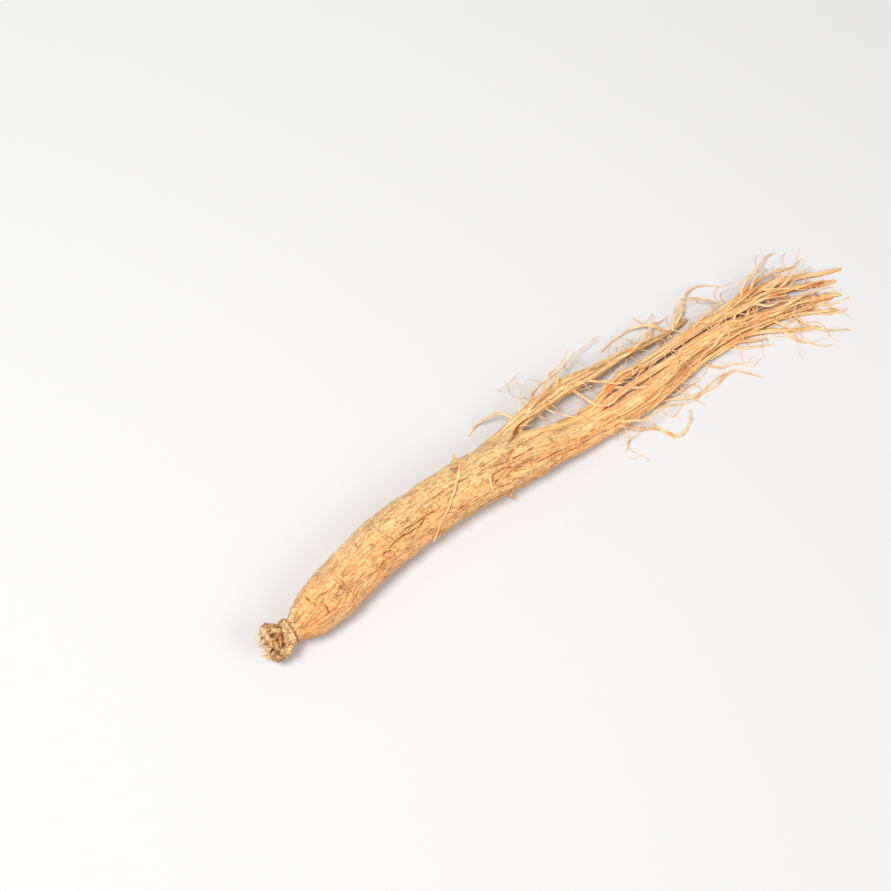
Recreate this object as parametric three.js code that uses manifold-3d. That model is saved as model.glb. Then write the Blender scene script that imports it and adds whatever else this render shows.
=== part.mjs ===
// A dried white ginseng root, lying on a flat surface. Millimetres, +Z up.
// The root grew as one piece, so it is one solid: a stout trunk that bends a little, the knotted stub of
// the stem at its head, two legs that fork off its lower end and fray into strands, and thin rootlets.
// It lies along X with its head at the -X end. The origin is under the middle of its box, at its rest.

import * as THREE from "three";
import { mergeVertices } from "three/addons/utils/BufferGeometryUtils.js";
import Module from "manifold-3d";

const wasm = await Module();
wasm.setup();

// Driving dimensions.
const trunkRadius = 9.8; // the trunk where it is thickest
const restDepth = 0.35; // how deep the belly is pressed flat where the root lies on it
const furrowCount = 17; // long furrows that dried into the trunk
const furrowDepth = 1.0;
const wrinkleDepth = 0.5;
const shoulderRingDepth = 0.22; // shallow rings round the shoulder, next to the head
const rootletCount = 32; // thin rootlets placed by rule
const rootletLength = 38; // the longest of them
const rootletRadius = 0.55; // a rootlet where it leaves its leg
const rootletTipRadius = 0.4;
const bristleCount = 11; // torn fibres round the broken end of the stem
const bristleLength = 3.2;
const bristleRadius = 0.6;
const stumpRadius = 1.05; // a rootlet that broke off close to the trunk
const randomSeed = 20417;

// Stations of a limb: x, y, z of its middle line and its radius. The neck, where the trunk meets the head,
// is at x = 0 until the finished root is centred.
const trunkStations = [
  [-0.6, 0, 9.5, 0.42 * trunkRadius],
  [0.7, 0, 9.5, 0.47 * trunkRadius],
  [5, 0.4, 9.6, 0.72 * trunkRadius],
  [13, 1.6, 9.6, 0.91 * trunkRadius],
  [26, 4.0, 9.6, 0.98 * trunkRadius],
  [40, 6.6, 9.6, 0.99 * trunkRadius],
  [54, 7.8, 9.6, trunkRadius],
  [68, 8.0, 9.6, 0.99 * trunkRadius],
  [82, 7.4, 9.6, 0.99 * trunkRadius],
  [96, 6.2, 9.3, 0.97 * trunkRadius],
  [108, 3.9, 8.7, 0.85 * trunkRadius],
  [118, 1.8, 8.0, 0.7 * trunkRadius],
  [128, 0.1, 7.2, 0.59 * trunkRadius],
  [140, -0.9, 6.4, 0.54 * trunkRadius],
  [153, -1.6, 5.6, 0.49 * trunkRadius],
  [166, -0.3, 4.8, 0.43 * trunkRadius],
  [179, 1.2, 4.0, 0.35 * trunkRadius],
  [191, 0.9, 3.2, 0.27 * trunkRadius],
  [202, 0.2, 2.6, 0.21 * trunkRadius],
  [214, -2.0, 2.0, 0.16 * trunkRadius],
  [228, -5.0, 1.4, 0.11 * trunkRadius],
  [242, -9.5, 0.9, 0.07 * trunkRadius],
];
const sideLegStations = [
  [78, 10.0, 9.4, 4.4],
  [90, 12.6, 9.8, 4.2],
  [101, 15.0, 10.0, 3.0],
  [112, 16.6, 9.7, 3.0],
  [122, 17.4, 9.2, 3.2],
  [132, 17.8, 8.5, 3.2],
  [143, 16.8, 7.7, 2.7],
  [153, 16.0, 6.8, 2.2],
  [163, 15.0, 5.8, 1.8],
  [172, 13.9, 4.8, 1.5],
  [180, 13.6, 3.7, 1.1],
  [189, 14.6, 2.5, 0.7],
];
const strandStations = {
  topStrand: [
    [97, 9.4, 15.8, 1.7],
    [107, 9.2, 13.8, 1.9],
    [117, 7.6, 11.7, 1.7],
    [127, 5.7, 10.1, 1.5],
    [135, 5.6, 8.9, 1.4],
    [143, 7.6, 8.0, 1.3],
    [152, 8.8, 7.0, 1.3],
    [162, 8.2, 6.3, 1.4],
    [174, 8.3, 5.6, 1.5],
    [186, 8.3, 5.0, 1.7],
    [197, 8.4, 4.3, 1.9],
    [207, 8.5, 3.6, 2.0],
    [216, 8.8, 3.0, 1.8],
    [225, 7.4, 2.4, 1.6],
    [234, 4.4, 1.8, 1.2],
    [243, 0.6, 1.3, 0.9],
    [252, -2.4, 0.8, 0.5],
  ],
  topBranch: [
    [172, 9.2, 6.6, 1.0],
    [184, 9.0, 6.0, 1.4],
    [196, 7.6, 5.4, 1.5],
    [207, 6.4, 4.4, 1.7],
    [218, 5.0, 3.4, 1.7],
    [229, 2.1, 2.4, 1.4],
    [238, -1.8, 1.6, 1.0],
    [247, -5.1, 1.0, 0.6],
  ],
  middleBranch: [
    [182, 4.4, 5.6, 1.1],
    [196, 3.1, 4.6, 1.5],
    [205, 1.2, 3.8, 1.7],
    [216, -1.2, 2.9, 1.7],
    [227, -3.3, 2.0, 1.4],
    [237, -6.6, 1.4, 0.9],
    [245, -10.4, 1.0, 0.6],
  ],
  upperStrand: [
    [126, 3.0, 10.4, 1.5],
    [142, 4.4, 9.2, 1.3],
    [161, 4.8, 7.4, 1.4],
    [180, 4.4, 6.0, 1.4],
    [199, 3.8, 4.2, 1.4],
    [212, -0.6, 2.9, 1.1],
    [226, -7.6, 1.7, 0.8],
    [240, -14.5, 1.0, 0.5],
  ],
  lowerStrand: [
    [146, -2.6, 4.4, 2.0],
    [160, -3.4, 3.8, 1.6],
    [175, -2.8, 3.2, 1.5],
    [188, -1.6, 2.7, 1.4],
    [199, -1.8, 2.3, 1.3],
    [209, -5.0, 1.8, 1.1],
    [219, -10.6, 1.3, 0.8],
    [230, -16.0, 0.9, 0.5],
  ],
};

// The stub of the stem: an uneven collar, then a knob that ends where the stem broke off.
const headStations = [
  [3.4, 0.2, 9.6, 3.4],
  [0.9, 0.1, 9.6, 3.9],
  [-0.6, 0, 9.6, 4.8],
  [-2.4, 0.1, 9.7, 4.9],
  [-3.6, 0.2, 9.8, 4.5],
  [-5.0, 0.3, 9.9, 5.4],
  [-7.4, 0.5, 10.0, 5.9],
  [-9.6, 0.6, 10.0, 5.5],
  [-10.6, 0.6, 10.0, 4.2],
];
// Scars of earlier stems, as lumps on the knob: x, y, z and radius.
const stemScars = [
  [-7.6, 4.4, 10.9, 2.9],
  [-8.3, -3.6, 8.3, 3.4],
  [-4.2, 0.4, 14.0, 2.1],
  [-5.4, -4.4, 10.6, 2.3],
  [-6.8, 0.2, 5.6, 2.7],
];

// Rootlets that part from the legs one by one: x, y and z of the middle line of each.
const loneRootlets = {
  longOnTheSurface: [
    [148, -5, 4],
    [160, -5.4, 2.4],
    [171, -10, 1],
    [182, -11.8, 0.6],
    [190, -10.8, 0.6],
    [194, -14, 0.6],
    [199, -19, 0.6],
  ],
  hooked: [
    [141, -4, 4.5],
    [147, -9.5, 2],
    [154, -13, 0.6],
    [158, -19, 0.6],
    [164, -18.6, 0.6],
    [168, -14, 0.6],
  ],
  acrossTheFork: [
    [133, 17, 7.5],
    [134.6, 11.5, 9.8],
    [135.2, 6.4, 11.5],
    [139, 3.6, 11.6],
    [143, 2.0, 10.6],
  ],
  overTheTrunk: [
    [80, 14, 14.6],
    [77.5, 11.4, 18.2],
    [73.5, 7.2, 19.3],
    [67.8, 2.9, 18.0],
    [61.6, -0.4, 14.2],
  ],
  sideLegFirst: [
    [181, 14.3, 3.2],
    [188, 17.5, 3.8],
    [193, 22, 3],
    [200, 22.5, 1.5],
    [207, 18.5, 0.6],
  ],
  sideLegSecond: [
    [177, 14.6, 3.8],
    [175, 19, 4.4],
    [169, 22.4, 3.6],
    [161, 23.4, 1.6],
    [154, 22.2, 0.6],
  ],
  besideTheFork: [
    [108, 18, 11],
    [106, 22, 10],
    [102, 24.4, 6],
    [98, 24.8, 1.4],
    [94, 23.6, 0.6],
  ],
};

// Stumps of rootlets that broke off: the share along the limb, the turn round it, and the length.
const trunkStumps = [
  [0.23, 1.9, 3.4],
  [0.3, 5.2, 3.0],
  [0.37, 0.3, 3.6],
  [0.41, 3.4, 3.2],
  [0.56, 4.4, 3.4],
];
const sideLegStumps = [
  [0.42, 0.9, 3.2],
  [0.6, 5.4, 2.8],
];

// Same numbers in every run: the minimal standard generator, from 0 up to 1.
function seededRandom(seed) {
  let state = seed;
  return () => {
    state = (state * 16807) % 2147483647;
    return state / 2147483647;
  };
}

// Smooth uneven value from -1 to 1, at the points of a lattice that closes round the limb.
function unevenness(along, around, stepsAround) {
  const lattice = (i, j) => {
    const k = ((j % stepsAround) + stepsAround) % stepsAround;
    const s = Math.sin(i * 127.1 + k * 311.7 + stepsAround * 74.7) * 43758.5453;
    return 2 * (s - Math.floor(s)) - 1;
  };
  const u = (around / (2 * Math.PI)) * stepsAround;
  const [i, j] = [Math.floor(along), Math.floor(u)];
  const ease = (f) => f * f * (3 - 2 * f);
  const [a, b] = [ease(along - i), ease(u - j)];
  const near = lattice(i, j) * (1 - b) + lattice(i, j + 1) * b;
  const far = lattice(i + 1, j) * (1 - b) + lattice(i + 1, j + 1) * b;
  return near * (1 - a) + far * a;
}

// Long furrows: each starts at its own place round the trunk, wanders, and fades at both ends.
const drawFurrow = seededRandom(randomSeed);
const furrows = Array.from({ length: furrowCount }, (_, i) => ({
  around: ((i + 0.8 * drawFurrow()) / furrowCount) * 2 * Math.PI,
  start: 8 + 75 * drawFurrow(),
  length: 22 + 50 * drawFurrow(),
  depth: furrowDepth * (0.45 + 0.55 * drawFurrow()),
  drift: 0.009 * (drawFurrow() - 0.5),
  width: 0.15 + 0.08 * drawFurrow(),
}));

function furrowRelief(along, around) {
  let relief = 0;
  for (const f of furrows) {
    const share = (along - f.start) / f.length;
    if (share <= 0 || share >= 1) continue;
    const middle = f.around + f.drift * (along - f.start) + 0.1 * Math.sin(along / 5 + f.start);
    const turn = Math.atan2(Math.sin(around - middle), Math.cos(around - middle));
    relief -= f.depth * Math.sin(Math.PI * share) * Math.exp(-((turn / f.width) ** 2));
  }
  return relief;
}

// Height of the trunk's skin over its plain radius. The relief shrinks with the leg.
function trunkRelief(along, around, radius) {
  const scale = Math.min(1, radius / trunkRadius);
  const atShoulder = Math.exp(-(((along - 9) / 9) ** 2));
  const waver = 1.3 * unevenness(along / 6, around, 5);
  const rings = shoulderRingDepth * atShoulder * Math.sin(along * 2.1 + waver);
  const swells = 0.35 * unevenness(along / 14, around, 4);
  const wrinkles = wrinkleDepth * unevenness(along / 6, around, 13);
  return scale * (swells + wrinkles + rings + furrowRelief(along, around));
}

function legRelief(along, around, radius) {
  return 0.1 * radius * (unevenness(along / 6, around, 6) + 0.6 * unevenness(along / 15, around, 3));
}

function headRelief(along, around, radius) {
  return 0.11 * radius * (unevenness(along / 1.7, around, 7) + unevenness(along / 3.5, around, 3));
}

// A tapered limb: a sphere's grid laid round a smooth curve through the stations. Its poles are the tips.
function limb(stations, sides, ringsPerStation, relief = () => 0) {
  const smooth = (points) => new THREE.CatmullRomCurve3(points, false, "catmullrom", 0.5);
  const axis = smooth(stations.map(([x, y, z]) => new THREE.Vector3(x, y, z)));
  const girth = smooth(stations.map(([, , , r]) => new THREE.Vector3(r, 0, 0)));
  const rings = (stations.length - 1) * ringsPerStation;
  const frames = [];
  let side = new THREE.Vector3(0, -1, 0);
  for (let i = 0; i <= rings; i++) {
    const tangent = axis.getTangent(i / rings);
    side = side.clone().addScaledVector(tangent, -side.dot(tangent)).normalize();
    frames.push({
      middle: axis.getPoint(i / rings),
      radius: i === 0 || i === rings ? 0 : girth.getPoint(i / rings).x,
      side,
      top: new THREE.Vector3().crossVectors(side, tangent),
    });
  }
  const shape = new THREE.SphereGeometry(1, sides, rings);
  const { position, uv } = shape.attributes;
  for (let k = 0; k < position.count; k++) {
    const ring = frames[Math.round((1 - uv.getY(k)) * rings)];
    const column = k % (sides + 1);
    const around = ((column % sides) / sides) * 2 * Math.PI;
    const reach = ring.radius && ring.radius + relief(ring.middle.x, around, ring.radius);
    const skin = ring.middle.clone().addScaledVector(ring.side, reach * Math.cos(around));
    skin.addScaledVector(ring.top, reach * Math.sin(around));
    position.setXYZ(k, skin.x, skin.y, skin.z);
  }
  return shape;
}

// A lump of the knob: a ball with an uneven skin.
function lump([x, y, z, radius]) {
  const shape = new THREE.IcosahedronGeometry(radius, 1);
  const { position } = shape.attributes;
  const point = new THREE.Vector3();
  for (let k = 0; k < position.count; k++) {
    point.fromBufferAttribute(position, k);
    const around = Math.atan2(point.y, point.x);
    point.multiplyScalar(1 + 0.13 * unevenness(point.z / 1.5 + radius, around, 5));
    position.setXYZ(k, x + point.x, y + point.y, z + point.z);
  }
  return shape;
}

// A place on a limb's skin, and the way out of it. Share runs along the limb, and turn round it.
function spotOn(stations, share, turn) {
  const at = share * (stations.length - 1);
  const i = Math.min(Math.floor(at), stations.length - 2);
  const [from, to] = [stations[i], stations[i + 1]];
  const [x, y, z, radius] = from.map((v, n) => v + (to[n] - v) * (at - i));
  const along = new THREE.Vector3(to[0] - from[0], to[1] - from[1], to[2] - from[2]).normalize();
  const sideways = new THREE.Vector3(-along.y, along.x, 0).normalize();
  const upwards = new THREE.Vector3().crossVectors(along, sideways);
  const out = sideways.multiplyScalar(Math.cos(turn)).addScaledVector(upwards, Math.sin(turn));
  return { middle: new THREE.Vector3(x, y, z), radius, along, out };
}

// A rootlet's thickness shrinks evenly to its tip.
function rootletThickness(share) {
  return THREE.MathUtils.lerp(rootletRadius, rootletTipRadius, share);
}

// A rootlet: it leaves its leg sideways, turns to run with the leg, wanders and sinks to the surface.
function rootletStations({ middle, radius, along, out }, length, draw) {
  const pointCount = 8;
  const step = length / (pointCount - 1);
  const place = middle.clone().addScaledVector(out, 0.35 * radius);
  const heading = out.clone().multiplyScalar(0.8).addScaledVector(along, 0.7).normalize();
  const swing = 0.28 * (draw() - 0.5);
  const phase = 2 * Math.PI * draw();
  const stations = [];
  for (let i = 0; i < pointCount; i++) {
    const thickness = rootletThickness(i / (pointCount - 1));
    place.z = Math.max(place.z, 0.9 * thickness);
    stations.push([place.x, place.y, place.z, thickness]);
    place.addScaledVector(heading, i === 0 ? 0.65 * radius + step : step);
    heading.addScaledVector(along, 0.35);
    heading.y += swing + 0.35 * Math.sin(phase + 1.7 * i);
    heading.z -= place.z > 2 ? 0.22 : 0.6 * heading.z;
    heading.normalize();
  }
  return stations;
}

// Torn fibres stand out round the broken face of the knob.
function bristleStations(i, draw) {
  const turn = ((i + 0.7 * draw()) / bristleCount) * 2 * Math.PI;
  const [x, y, z, radius] = headStations.at(-2);
  const rooting = 1.5; // how deep a fibre starts inside the knob
  const reach = radius * (0.45 + 0.5 * draw());
  const length = bristleLength * (0.6 + 0.4 * draw());
  const lean = 0.25 + 0.35 * draw();
  return [0, 0.5, 1].map((share) => {
    const spread = reach + lean * length * share;
    return [
      x + rooting - (rooting + length) * share,
      y + Math.cos(turn) * spread,
      z + Math.sin(turn) * spread,
      bristleRadius - 0.25 * share,
    ];
  });
}

// A stump leans towards the tips, as the rootlet did that it is left of.
function stumpStations({ middle, radius, along, out }, length) {
  const heading = out.clone().addScaledVector(along, 0.5).normalize();
  const start = middle.addScaledVector(out, 0.7 * radius);
  return [0, 0.5, 1].map((share) => {
    const place = start.clone().addScaledVector(heading, share * (0.3 * radius + length));
    return [place.x, place.y, place.z, stumpRadius - 0.4 * share];
  });
}

function solid(geometry) {
  const shape = geometry.clone();
  shape.deleteAttribute("normal");
  shape.deleteAttribute("uv");
  const merged = mergeVertices(shape, 1e-4);
  const triVerts = new Uint32Array(merged.index.array);
  const vertProperties = merged.attributes.position.array;
  return new wasm.Manifold(new wasm.Mesh({ numProp: 3, vertProperties, triVerts }));
}

function headParts(draw) {
  const parts = [limb(headStations, 22, 2, headRelief), ...stemScars.map(lump)];
  for (let i = 0; i < bristleCount; i++) parts.push(limb(bristleStations(i, draw), 4, 2));
  return parts;
}

function stumpParts() {
  const stump = (host) => ([share, turn, length]) =>
    limb(stumpStations(spotOn(host, share, turn), length), 5, 2);
  return [...trunkStumps.map(stump(trunkStations)), ...sideLegStumps.map(stump(sideLegStations))];
}

function loneRootletParts() {
  return Object.values(loneRootlets).map((points) => {
    const stations = points.map((p, i) => [...p, 1.1 * rootletThickness(i / (points.length - 1))]);
    return limb(stations, 3, 2);
  });
}

// Rootlets by rule: they take the legs and strands in turn, and are shorter towards the tips.
function rootletParts(draw) {
  const hosts = [trunkStations, sideLegStations, ...Object.values(strandStations)];
  const parts = [];
  for (let i = 0; i < rootletCount; i++) {
    const host = hosts[i % hosts.length];
    const share = host === trunkStations ? 0.6 + 0.34 * draw() : 0.25 + 0.6 * draw();
    const spot = spotOn(host, share, 2 * Math.PI * draw());
    const length = rootletLength * (0.5 + 0.5 * draw()) * (1.2 - 0.7 * share);
    parts.push(limb(rootletStations(spot, length, draw), 3, 1));
  }
  return parts;
}

// The whole root, joined limb by limb, pressed flat where it lies, and centred over its rest.
function rootGeometry() {
  const draw = seededRandom(randomSeed + 1);
  const limbs = [
    limb(trunkStations, 30, 3, trunkRelief),
    limb(sideLegStations, 14, 2, legRelief),
    ...Object.values(strandStations).map((stations) => limb(stations, 6, 2, legRelief)),
    ...headParts(draw),
    ...stumpParts(),
    ...loneRootletParts(),
    ...rootletParts(draw),
  ];
  const joined = wasm.Manifold.union(limbs.map(solid));
  const below = new THREE.BoxGeometry(1000, 1000, 100).translate(0, 0, restDepth - 50);
  const [whole] = joined.subtract(solid(below)).decompose().sort((a, b) => b.volume() - a.volume());
  const mesh = whole.getMesh();
  const shape = new THREE.BufferGeometry();
  shape.setAttribute("position", new THREE.BufferAttribute(mesh.vertProperties, 3));
  shape.setIndex(new THREE.BufferAttribute(mesh.triVerts, 1));
  shape.computeBoundingBox();
  const { min, max } = shape.boundingBox;
  shape.translate(-(min.x + max.x) / 2, -(min.y + max.y) / 2, -min.z);
  shape.computeVertexNormals();
  return shape;
}

const rootSkin = new THREE.MeshStandardMaterial({ color: 0xe8bb80, roughness: 0.85, metalness: 0 });
const ginsengRoot = new THREE.Mesh(rootGeometry(), rootSkin);
ginsengRoot.name = "ginseng_root";

const part = new THREE.Group();
part.add(ginsengRoot);

export default part;
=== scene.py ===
# A dried white ginseng root, lying on a plain pale surface.
# Blender works in metres. The root's own sizes are in millimetres, and times MM they are metres.
import itertools
import math

import bpy
import numpy as np
from mathutils import Matrix, Vector


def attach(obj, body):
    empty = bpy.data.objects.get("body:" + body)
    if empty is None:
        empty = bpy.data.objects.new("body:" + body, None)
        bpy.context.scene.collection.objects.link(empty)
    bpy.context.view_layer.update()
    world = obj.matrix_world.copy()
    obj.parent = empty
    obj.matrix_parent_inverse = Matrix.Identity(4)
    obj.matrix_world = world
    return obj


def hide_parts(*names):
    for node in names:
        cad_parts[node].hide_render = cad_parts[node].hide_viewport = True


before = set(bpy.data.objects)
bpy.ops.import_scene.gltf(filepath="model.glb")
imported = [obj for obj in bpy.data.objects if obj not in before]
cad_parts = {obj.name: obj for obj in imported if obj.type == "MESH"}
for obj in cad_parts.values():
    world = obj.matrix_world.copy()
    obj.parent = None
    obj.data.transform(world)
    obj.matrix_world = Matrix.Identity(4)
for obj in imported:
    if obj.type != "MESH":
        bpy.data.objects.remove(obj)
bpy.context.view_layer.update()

# The camera looks down on the root from 71 degrees above the surface, a little from the left of the
# head. A root has no cords, so the camera alone comes first.
CAMERA_RIGHT = Vector((0.799212, -0.585089, 0.137591))
CAMERA_UP = Vector((0.530815, 0.794464, 0.295065))
CAMERA_AIM = Vector((-0.034414, 0.023628, -0.00035))
CAMERA_DISTANCE = 0.75
CAMERA_LENS = 84.848


def placed(name, data):
    """An object of the scene that shows a mesh, or is a light or a camera."""
    made = bpy.data.objects.new(name, data)
    bpy.context.scene.collection.objects.link(made)
    return made


backwards = CAMERA_RIGHT.cross(CAMERA_UP).normalized()
camera_data = bpy.data.cameras.new("camera")
camera_data.sensor_width = 36.0
camera_data.lens = CAMERA_LENS
camera_data.clip_start = 0.02
camera = placed("camera", camera_data)
camera_turn = Matrix((CAMERA_RIGHT, CAMERA_UP, backwards)).transposed().to_4x4()
camera.matrix_world = Matrix.Translation(CAMERA_AIM + CAMERA_DISTANCE * backwards) @ camera_turn
bpy.context.scene.camera = camera


# The trunk and the two legs that fork off it are one grown body. It dried slowly: the skin shrank
# into long furrows and a net of fine creases, and the fork filled in with a soft web. It is the
# skin of one closed body, laid round two middle lines, joined, eased at the fork and then wrinkled.
MM = 0.001
NECK = np.array([-119.632, -1.716, -0.35])  # where x, y, z = 0 of every station lies in the part
REST_HEIGHT = 0.35  # the belly is pressed flat at this height of the stations
SOFTNESS = 0.62  # the skin is fuller between its furrows than the plain solid is
TRUNK_RADIUS = 9.8
FURROW_COUNT = 17
FURROW_DEPTH = 1.0
WRINKLE_DEPTH = 0.5
SHOULDER_RING_DEPTH = 0.22
RANDOM_SEED = 20417
SKIN_VOXEL = 0.45
WEB_WIDTH = 2.6  # how far the web reaches from the crease between two limbs
GRAIN_SLANT = 0.2  # sideways for each millimetre along, of the creases that run aslant
LEG_SEAM_SHIFT = 19  # brings the laid out skins of the two legs together where they meet
FINE_CREASE_DEPTH = 0.22
CROSS_CREASE_DEPTH = 0.13
LEG_GROOVE_DEPTH = 0.55
KNOWN_CREASE_DEPTH = 0.7  # of a crease in the list below that has a depth of 1
SCAR_DEPTH = 0.3
SCAR_RIM_HEIGHT = 0.2
CROTCH_DEPTH = 1.5
FAR_OFF = 99.0  # further from a crease than any point of the skin is
TRUNK_SIDES = 96
SIDE_LEG_SIDES = 48
STUMP_SIDES = 12
POINTS_AT_A_TIME = 8000  # of those whose nearest place on a limb is looked for

# x, y, z of the middle line, and the radius there, for the trunk as a share of TRUNK_RADIUS.
trunk_stations = np.array([
    (-0.6, 0, 9.5, 0.42),
    (0.7, 0, 9.5, 0.47),
    (5, 0.4, 9.6, 0.72),
    (13, 1.6, 9.6, 0.91),
    (26, 4.0, 9.6, 0.98),
    (40, 6.6, 9.6, 0.99),
    (54, 7.8, 9.6, 1),
    (68, 8.0, 9.6, 0.99),
    (82, 7.4, 9.6, 0.99),
    (96, 6.2, 9.3, 0.97),
    (108, 3.9, 8.7, 0.85),
    (118, 1.8, 8.0, 0.7),
    (128, 0.1, 7.2, 0.59),
    (140, -0.9, 6.4, 0.54),
    (153, -1.6, 5.6, 0.49),
    (166, -0.3, 4.8, 0.43),
    (179, 1.2, 4.0, 0.35),
    (191, 0.9, 3.2, 0.27),
    (202, 0.2, 2.6, 0.21),
    (214, -2.0, 2.0, 0.16),
    (228, -5.0, 1.4, 0.11),
    (242, -9.5, 0.9, 0.07),
])
trunk_stations[:, 3] *= TRUNK_RADIUS
side_leg_stations = np.array([
    (78, 10.0, 9.4, 4.4),
    (90, 12.6, 9.8, 4.2),
    (101, 15.0, 10.0, 3.0),
    (112, 16.6, 9.7, 3.0),
    (122, 17.4, 9.2, 3.2),
    (132, 17.8, 8.5, 3.2),
    (143, 16.8, 7.7, 2.7),
    (153, 16.0, 6.8, 2.2),
    (163, 15.0, 5.8, 1.8),
    (172, 13.9, 4.8, 1.5),
    (180, 13.6, 3.7, 1.1),
    (189, 14.6, 2.5, 0.7),
])
# Stumps of rootlets that broke off: the share along the limb, the turn round it, and the length.
trunk_stumps = [(0.23, 1.9, 3.4), (0.3, 5.2, 3.0), (0.37, 0.3, 3.6), (0.41, 3.4, 3.2), (0.56, 4.4, 3.4)]
side_leg_stumps = [(0.42, 0.9, 3.2), (0.6, 5.4, 2.8)]
STUMP_RADIUS = 1.05

# Creases that the root has at known places: x, the turn round the trunk in degrees, and how deep.
# A turn of 0 faces -Y, 90 faces up and 180 faces +Y.
trunk_creases = [
    (0.8, [(38, 64), (42, 67), (46, 70), (48, 70), (51, 65), (56, 65), (59, 73)]),
    (0.55, [(47, 76), (51, 78), (54, 74), (57, 75), (63, 73)]),
    (0.8, [(59, 13), (65, 4), (72, 3), (78, 5), (84, 12), (92, 10), (100, 6), (108, 12), (116, 30)]),
    (0.45, [(84, 95), (93, 84), (100, 84), (106, 92)]),
    (0.7, [(96, 95), (98, 103), (103, 112), (107, 116), (112, 128), (117, 124)]),
    (0.35, [(88, 131), (93, 130), (96, 140)]),
    (0.45, [(87, 72), (91, 74), (95, 70)]),
    (0.45, [(86, 50), (89, 59)]),
    (0.4, [(99, 63), (102, 66), (104, 63)]),
    (0.45, [(9.8, 134), (9.4, 112), (9.8, 92)]),
    (0.55, [(12, 84), (12, 72), (11.4, 54)]),
    (0.4, [(10.7, 102), (13.2, 102), (16, 95)]),
    (0.45, [(21, 88), (19.6, 83), (16.4, 72)]),
    (0.4, [(20.6, 82), (19.2, 76)]),
    (0.35, [(34, 124), (34, 116)]),
    (0.3, [(37, 115), (41, 122)]),
    (0.3, [(43, 138), (46, 130), (49, 120)]),
    (0.3, [(48, 134), (52, 135)]),
    (0.3, [(54, 97), (52, 89)]),
    (0.4, [(20, 40), (27, 52), (33, 50), (38, 56)]),
    (0.45, [(70, 46), (78, 42), (86, 40), (94, 36)]),
    (0.4, [(64, 96), (72, 99), (80, 94)]),
    (0.5, [(76, 140), (79, 130), (79, 122)]),
    (0.7, [(104, 52), (109, 54), (113, 56), (119, 54), (126, 48)]),
    (0.45, [(113, 44), (119, 42), (126, 36)]),
    (0.4, [(130, 62), (138, 66), (147, 62), (156, 66)]),
]
# The crotch between the two legs, sunk and painted dark as shade: x and y of a line on the top of the web.
crotch_line = np.array([(100.5, 11.6), (104.5, 12.9), (109, 13.9), (114, 14.0)])
# Round scars where rootlets left the trunk: x, turn in degrees, and radius.
trunk_scars = [(21.5, 75, 1.3), (78, 131, 1.7), (41, 132, 0.9), (86, 101, 0.9), (58, 38, 1.0), (97, 60, 1.1)]


def seeded_random(seed):
    """Same numbers in every run: the minimal standard generator, from 0 up to 1."""
    state = seed
    while True:
        state = state * 16807 % 2147483647
        yield state / 2147483647


def unevenness(along, around, steps_around):
    """Smooth uneven value from -1 to 1, at the points of a lattice that closes round the limb."""
    def lattice(i, j):
        s = np.sin(i * 127.1 + (j % steps_around) * 311.7 + steps_around * 74.7) * 43758.5453
        return 2 * (s - np.floor(s)) - 1

    u = around / (2 * math.pi) * steps_around
    i, j = np.floor(along), np.floor(u)
    a, b = along - i, u - j
    a, b = a * a * (3 - 2 * a), b * b * (3 - 2 * b)
    near = lattice(i, j) * (1 - b) + lattice(i, j + 1) * b
    far = lattice(i + 1, j) * (1 - b) + lattice(i + 1, j + 1) * b
    return near * (1 - a) + far * a


def noise(points, seed):
    """Smooth noise in space, about -1 to 1, one value for each row of points."""
    cell = np.floor(points)
    inside = points - cell
    cell = cell.astype(np.int64)
    ease = inside * inside * inside * (inside * (inside * 6 - 15) + 10)
    total = np.zeros(len(points))
    for corner in itertools.product((0, 1), repeat=3):
        key = (cell + corner) @ np.array([73856093, 19349663, 83492791]) + seed * 2654435761
        away = inside - corner
        slope = np.zeros(len(points))
        for axis in range(3):
            key = (key ^ (key >> 15)) * 2246822519 & 0xFFFFFFFF
            slope += away[:, axis] * (key / 2147483648.0 - 1)
        weight = np.prod(np.where(corner, ease, 1 - ease), axis=1)
        total += weight * slope
    return 1.6 * total


def valleys(points, seed, width):
    """Thin winding creases, 1 in the middle of a crease and 0 between them."""
    return np.exp(-(noise(points, seed) / width) ** 2)


def unrolled(along, around, radius):
    """The skin laid out flat: along the limb, and round it from the top. Its seam is underneath."""
    turn = (around + math.pi / 2) % (2 * math.pi) - math.pi
    return np.stack([along, turn * radius, 0 * along], axis=-1)


def set_grains(mesh, flat):
    """Keeps the laid out skin on a mesh three times: straight, and aslant to either hand."""
    slanted = GRAIN_SLANT * flat[:, :1] * (0, 1, 0)
    set_attributes(mesh, grain=flat, grain_left=flat + slanted, grain_right=flat - slanted)


def winding(along, around, length, steps_around, seed, width):
    """Creases that wind along a limb and close round it, 1 in the middle of a crease."""
    along = along + 2.5 * unevenness(along / 9 + seed, around, 7)
    around = around + 0.11 * unevenness(along / 5 + 3 * seed, around, 9)
    return np.exp(-(unevenness(along / length + 17.3 * seed, around, steps_around) / width) ** 2)


def unit(way):
    return way / np.linalg.norm(way)


def turn_from(middle, around):
    """The turn from one place round a limb to another, the shorter way."""
    return np.arctan2(np.sin(around - middle), np.cos(around - middle))


def smooth_line(stations, steps):
    """A smooth curve through the stations, with that many steps from each to the next."""
    before, after = 2 * stations[0] - stations[1], 2 * stations[-1] - stations[-2]
    p = np.vstack([before, stations, after])
    t = (np.arange(steps) / steps)[:, None]
    rows = []
    for a, b, c, d in zip(p, p[1:], p[2:], p[3:]):
        square = (2 * a - 5 * b + 4 * c - d) * t ** 2
        cube = (3 * b - a - 3 * c + d) * t ** 3
        rows.append(b + 0.5 * ((c - a) * t + square + cube))
    return np.vstack(rows + [stations[-1:]])


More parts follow.
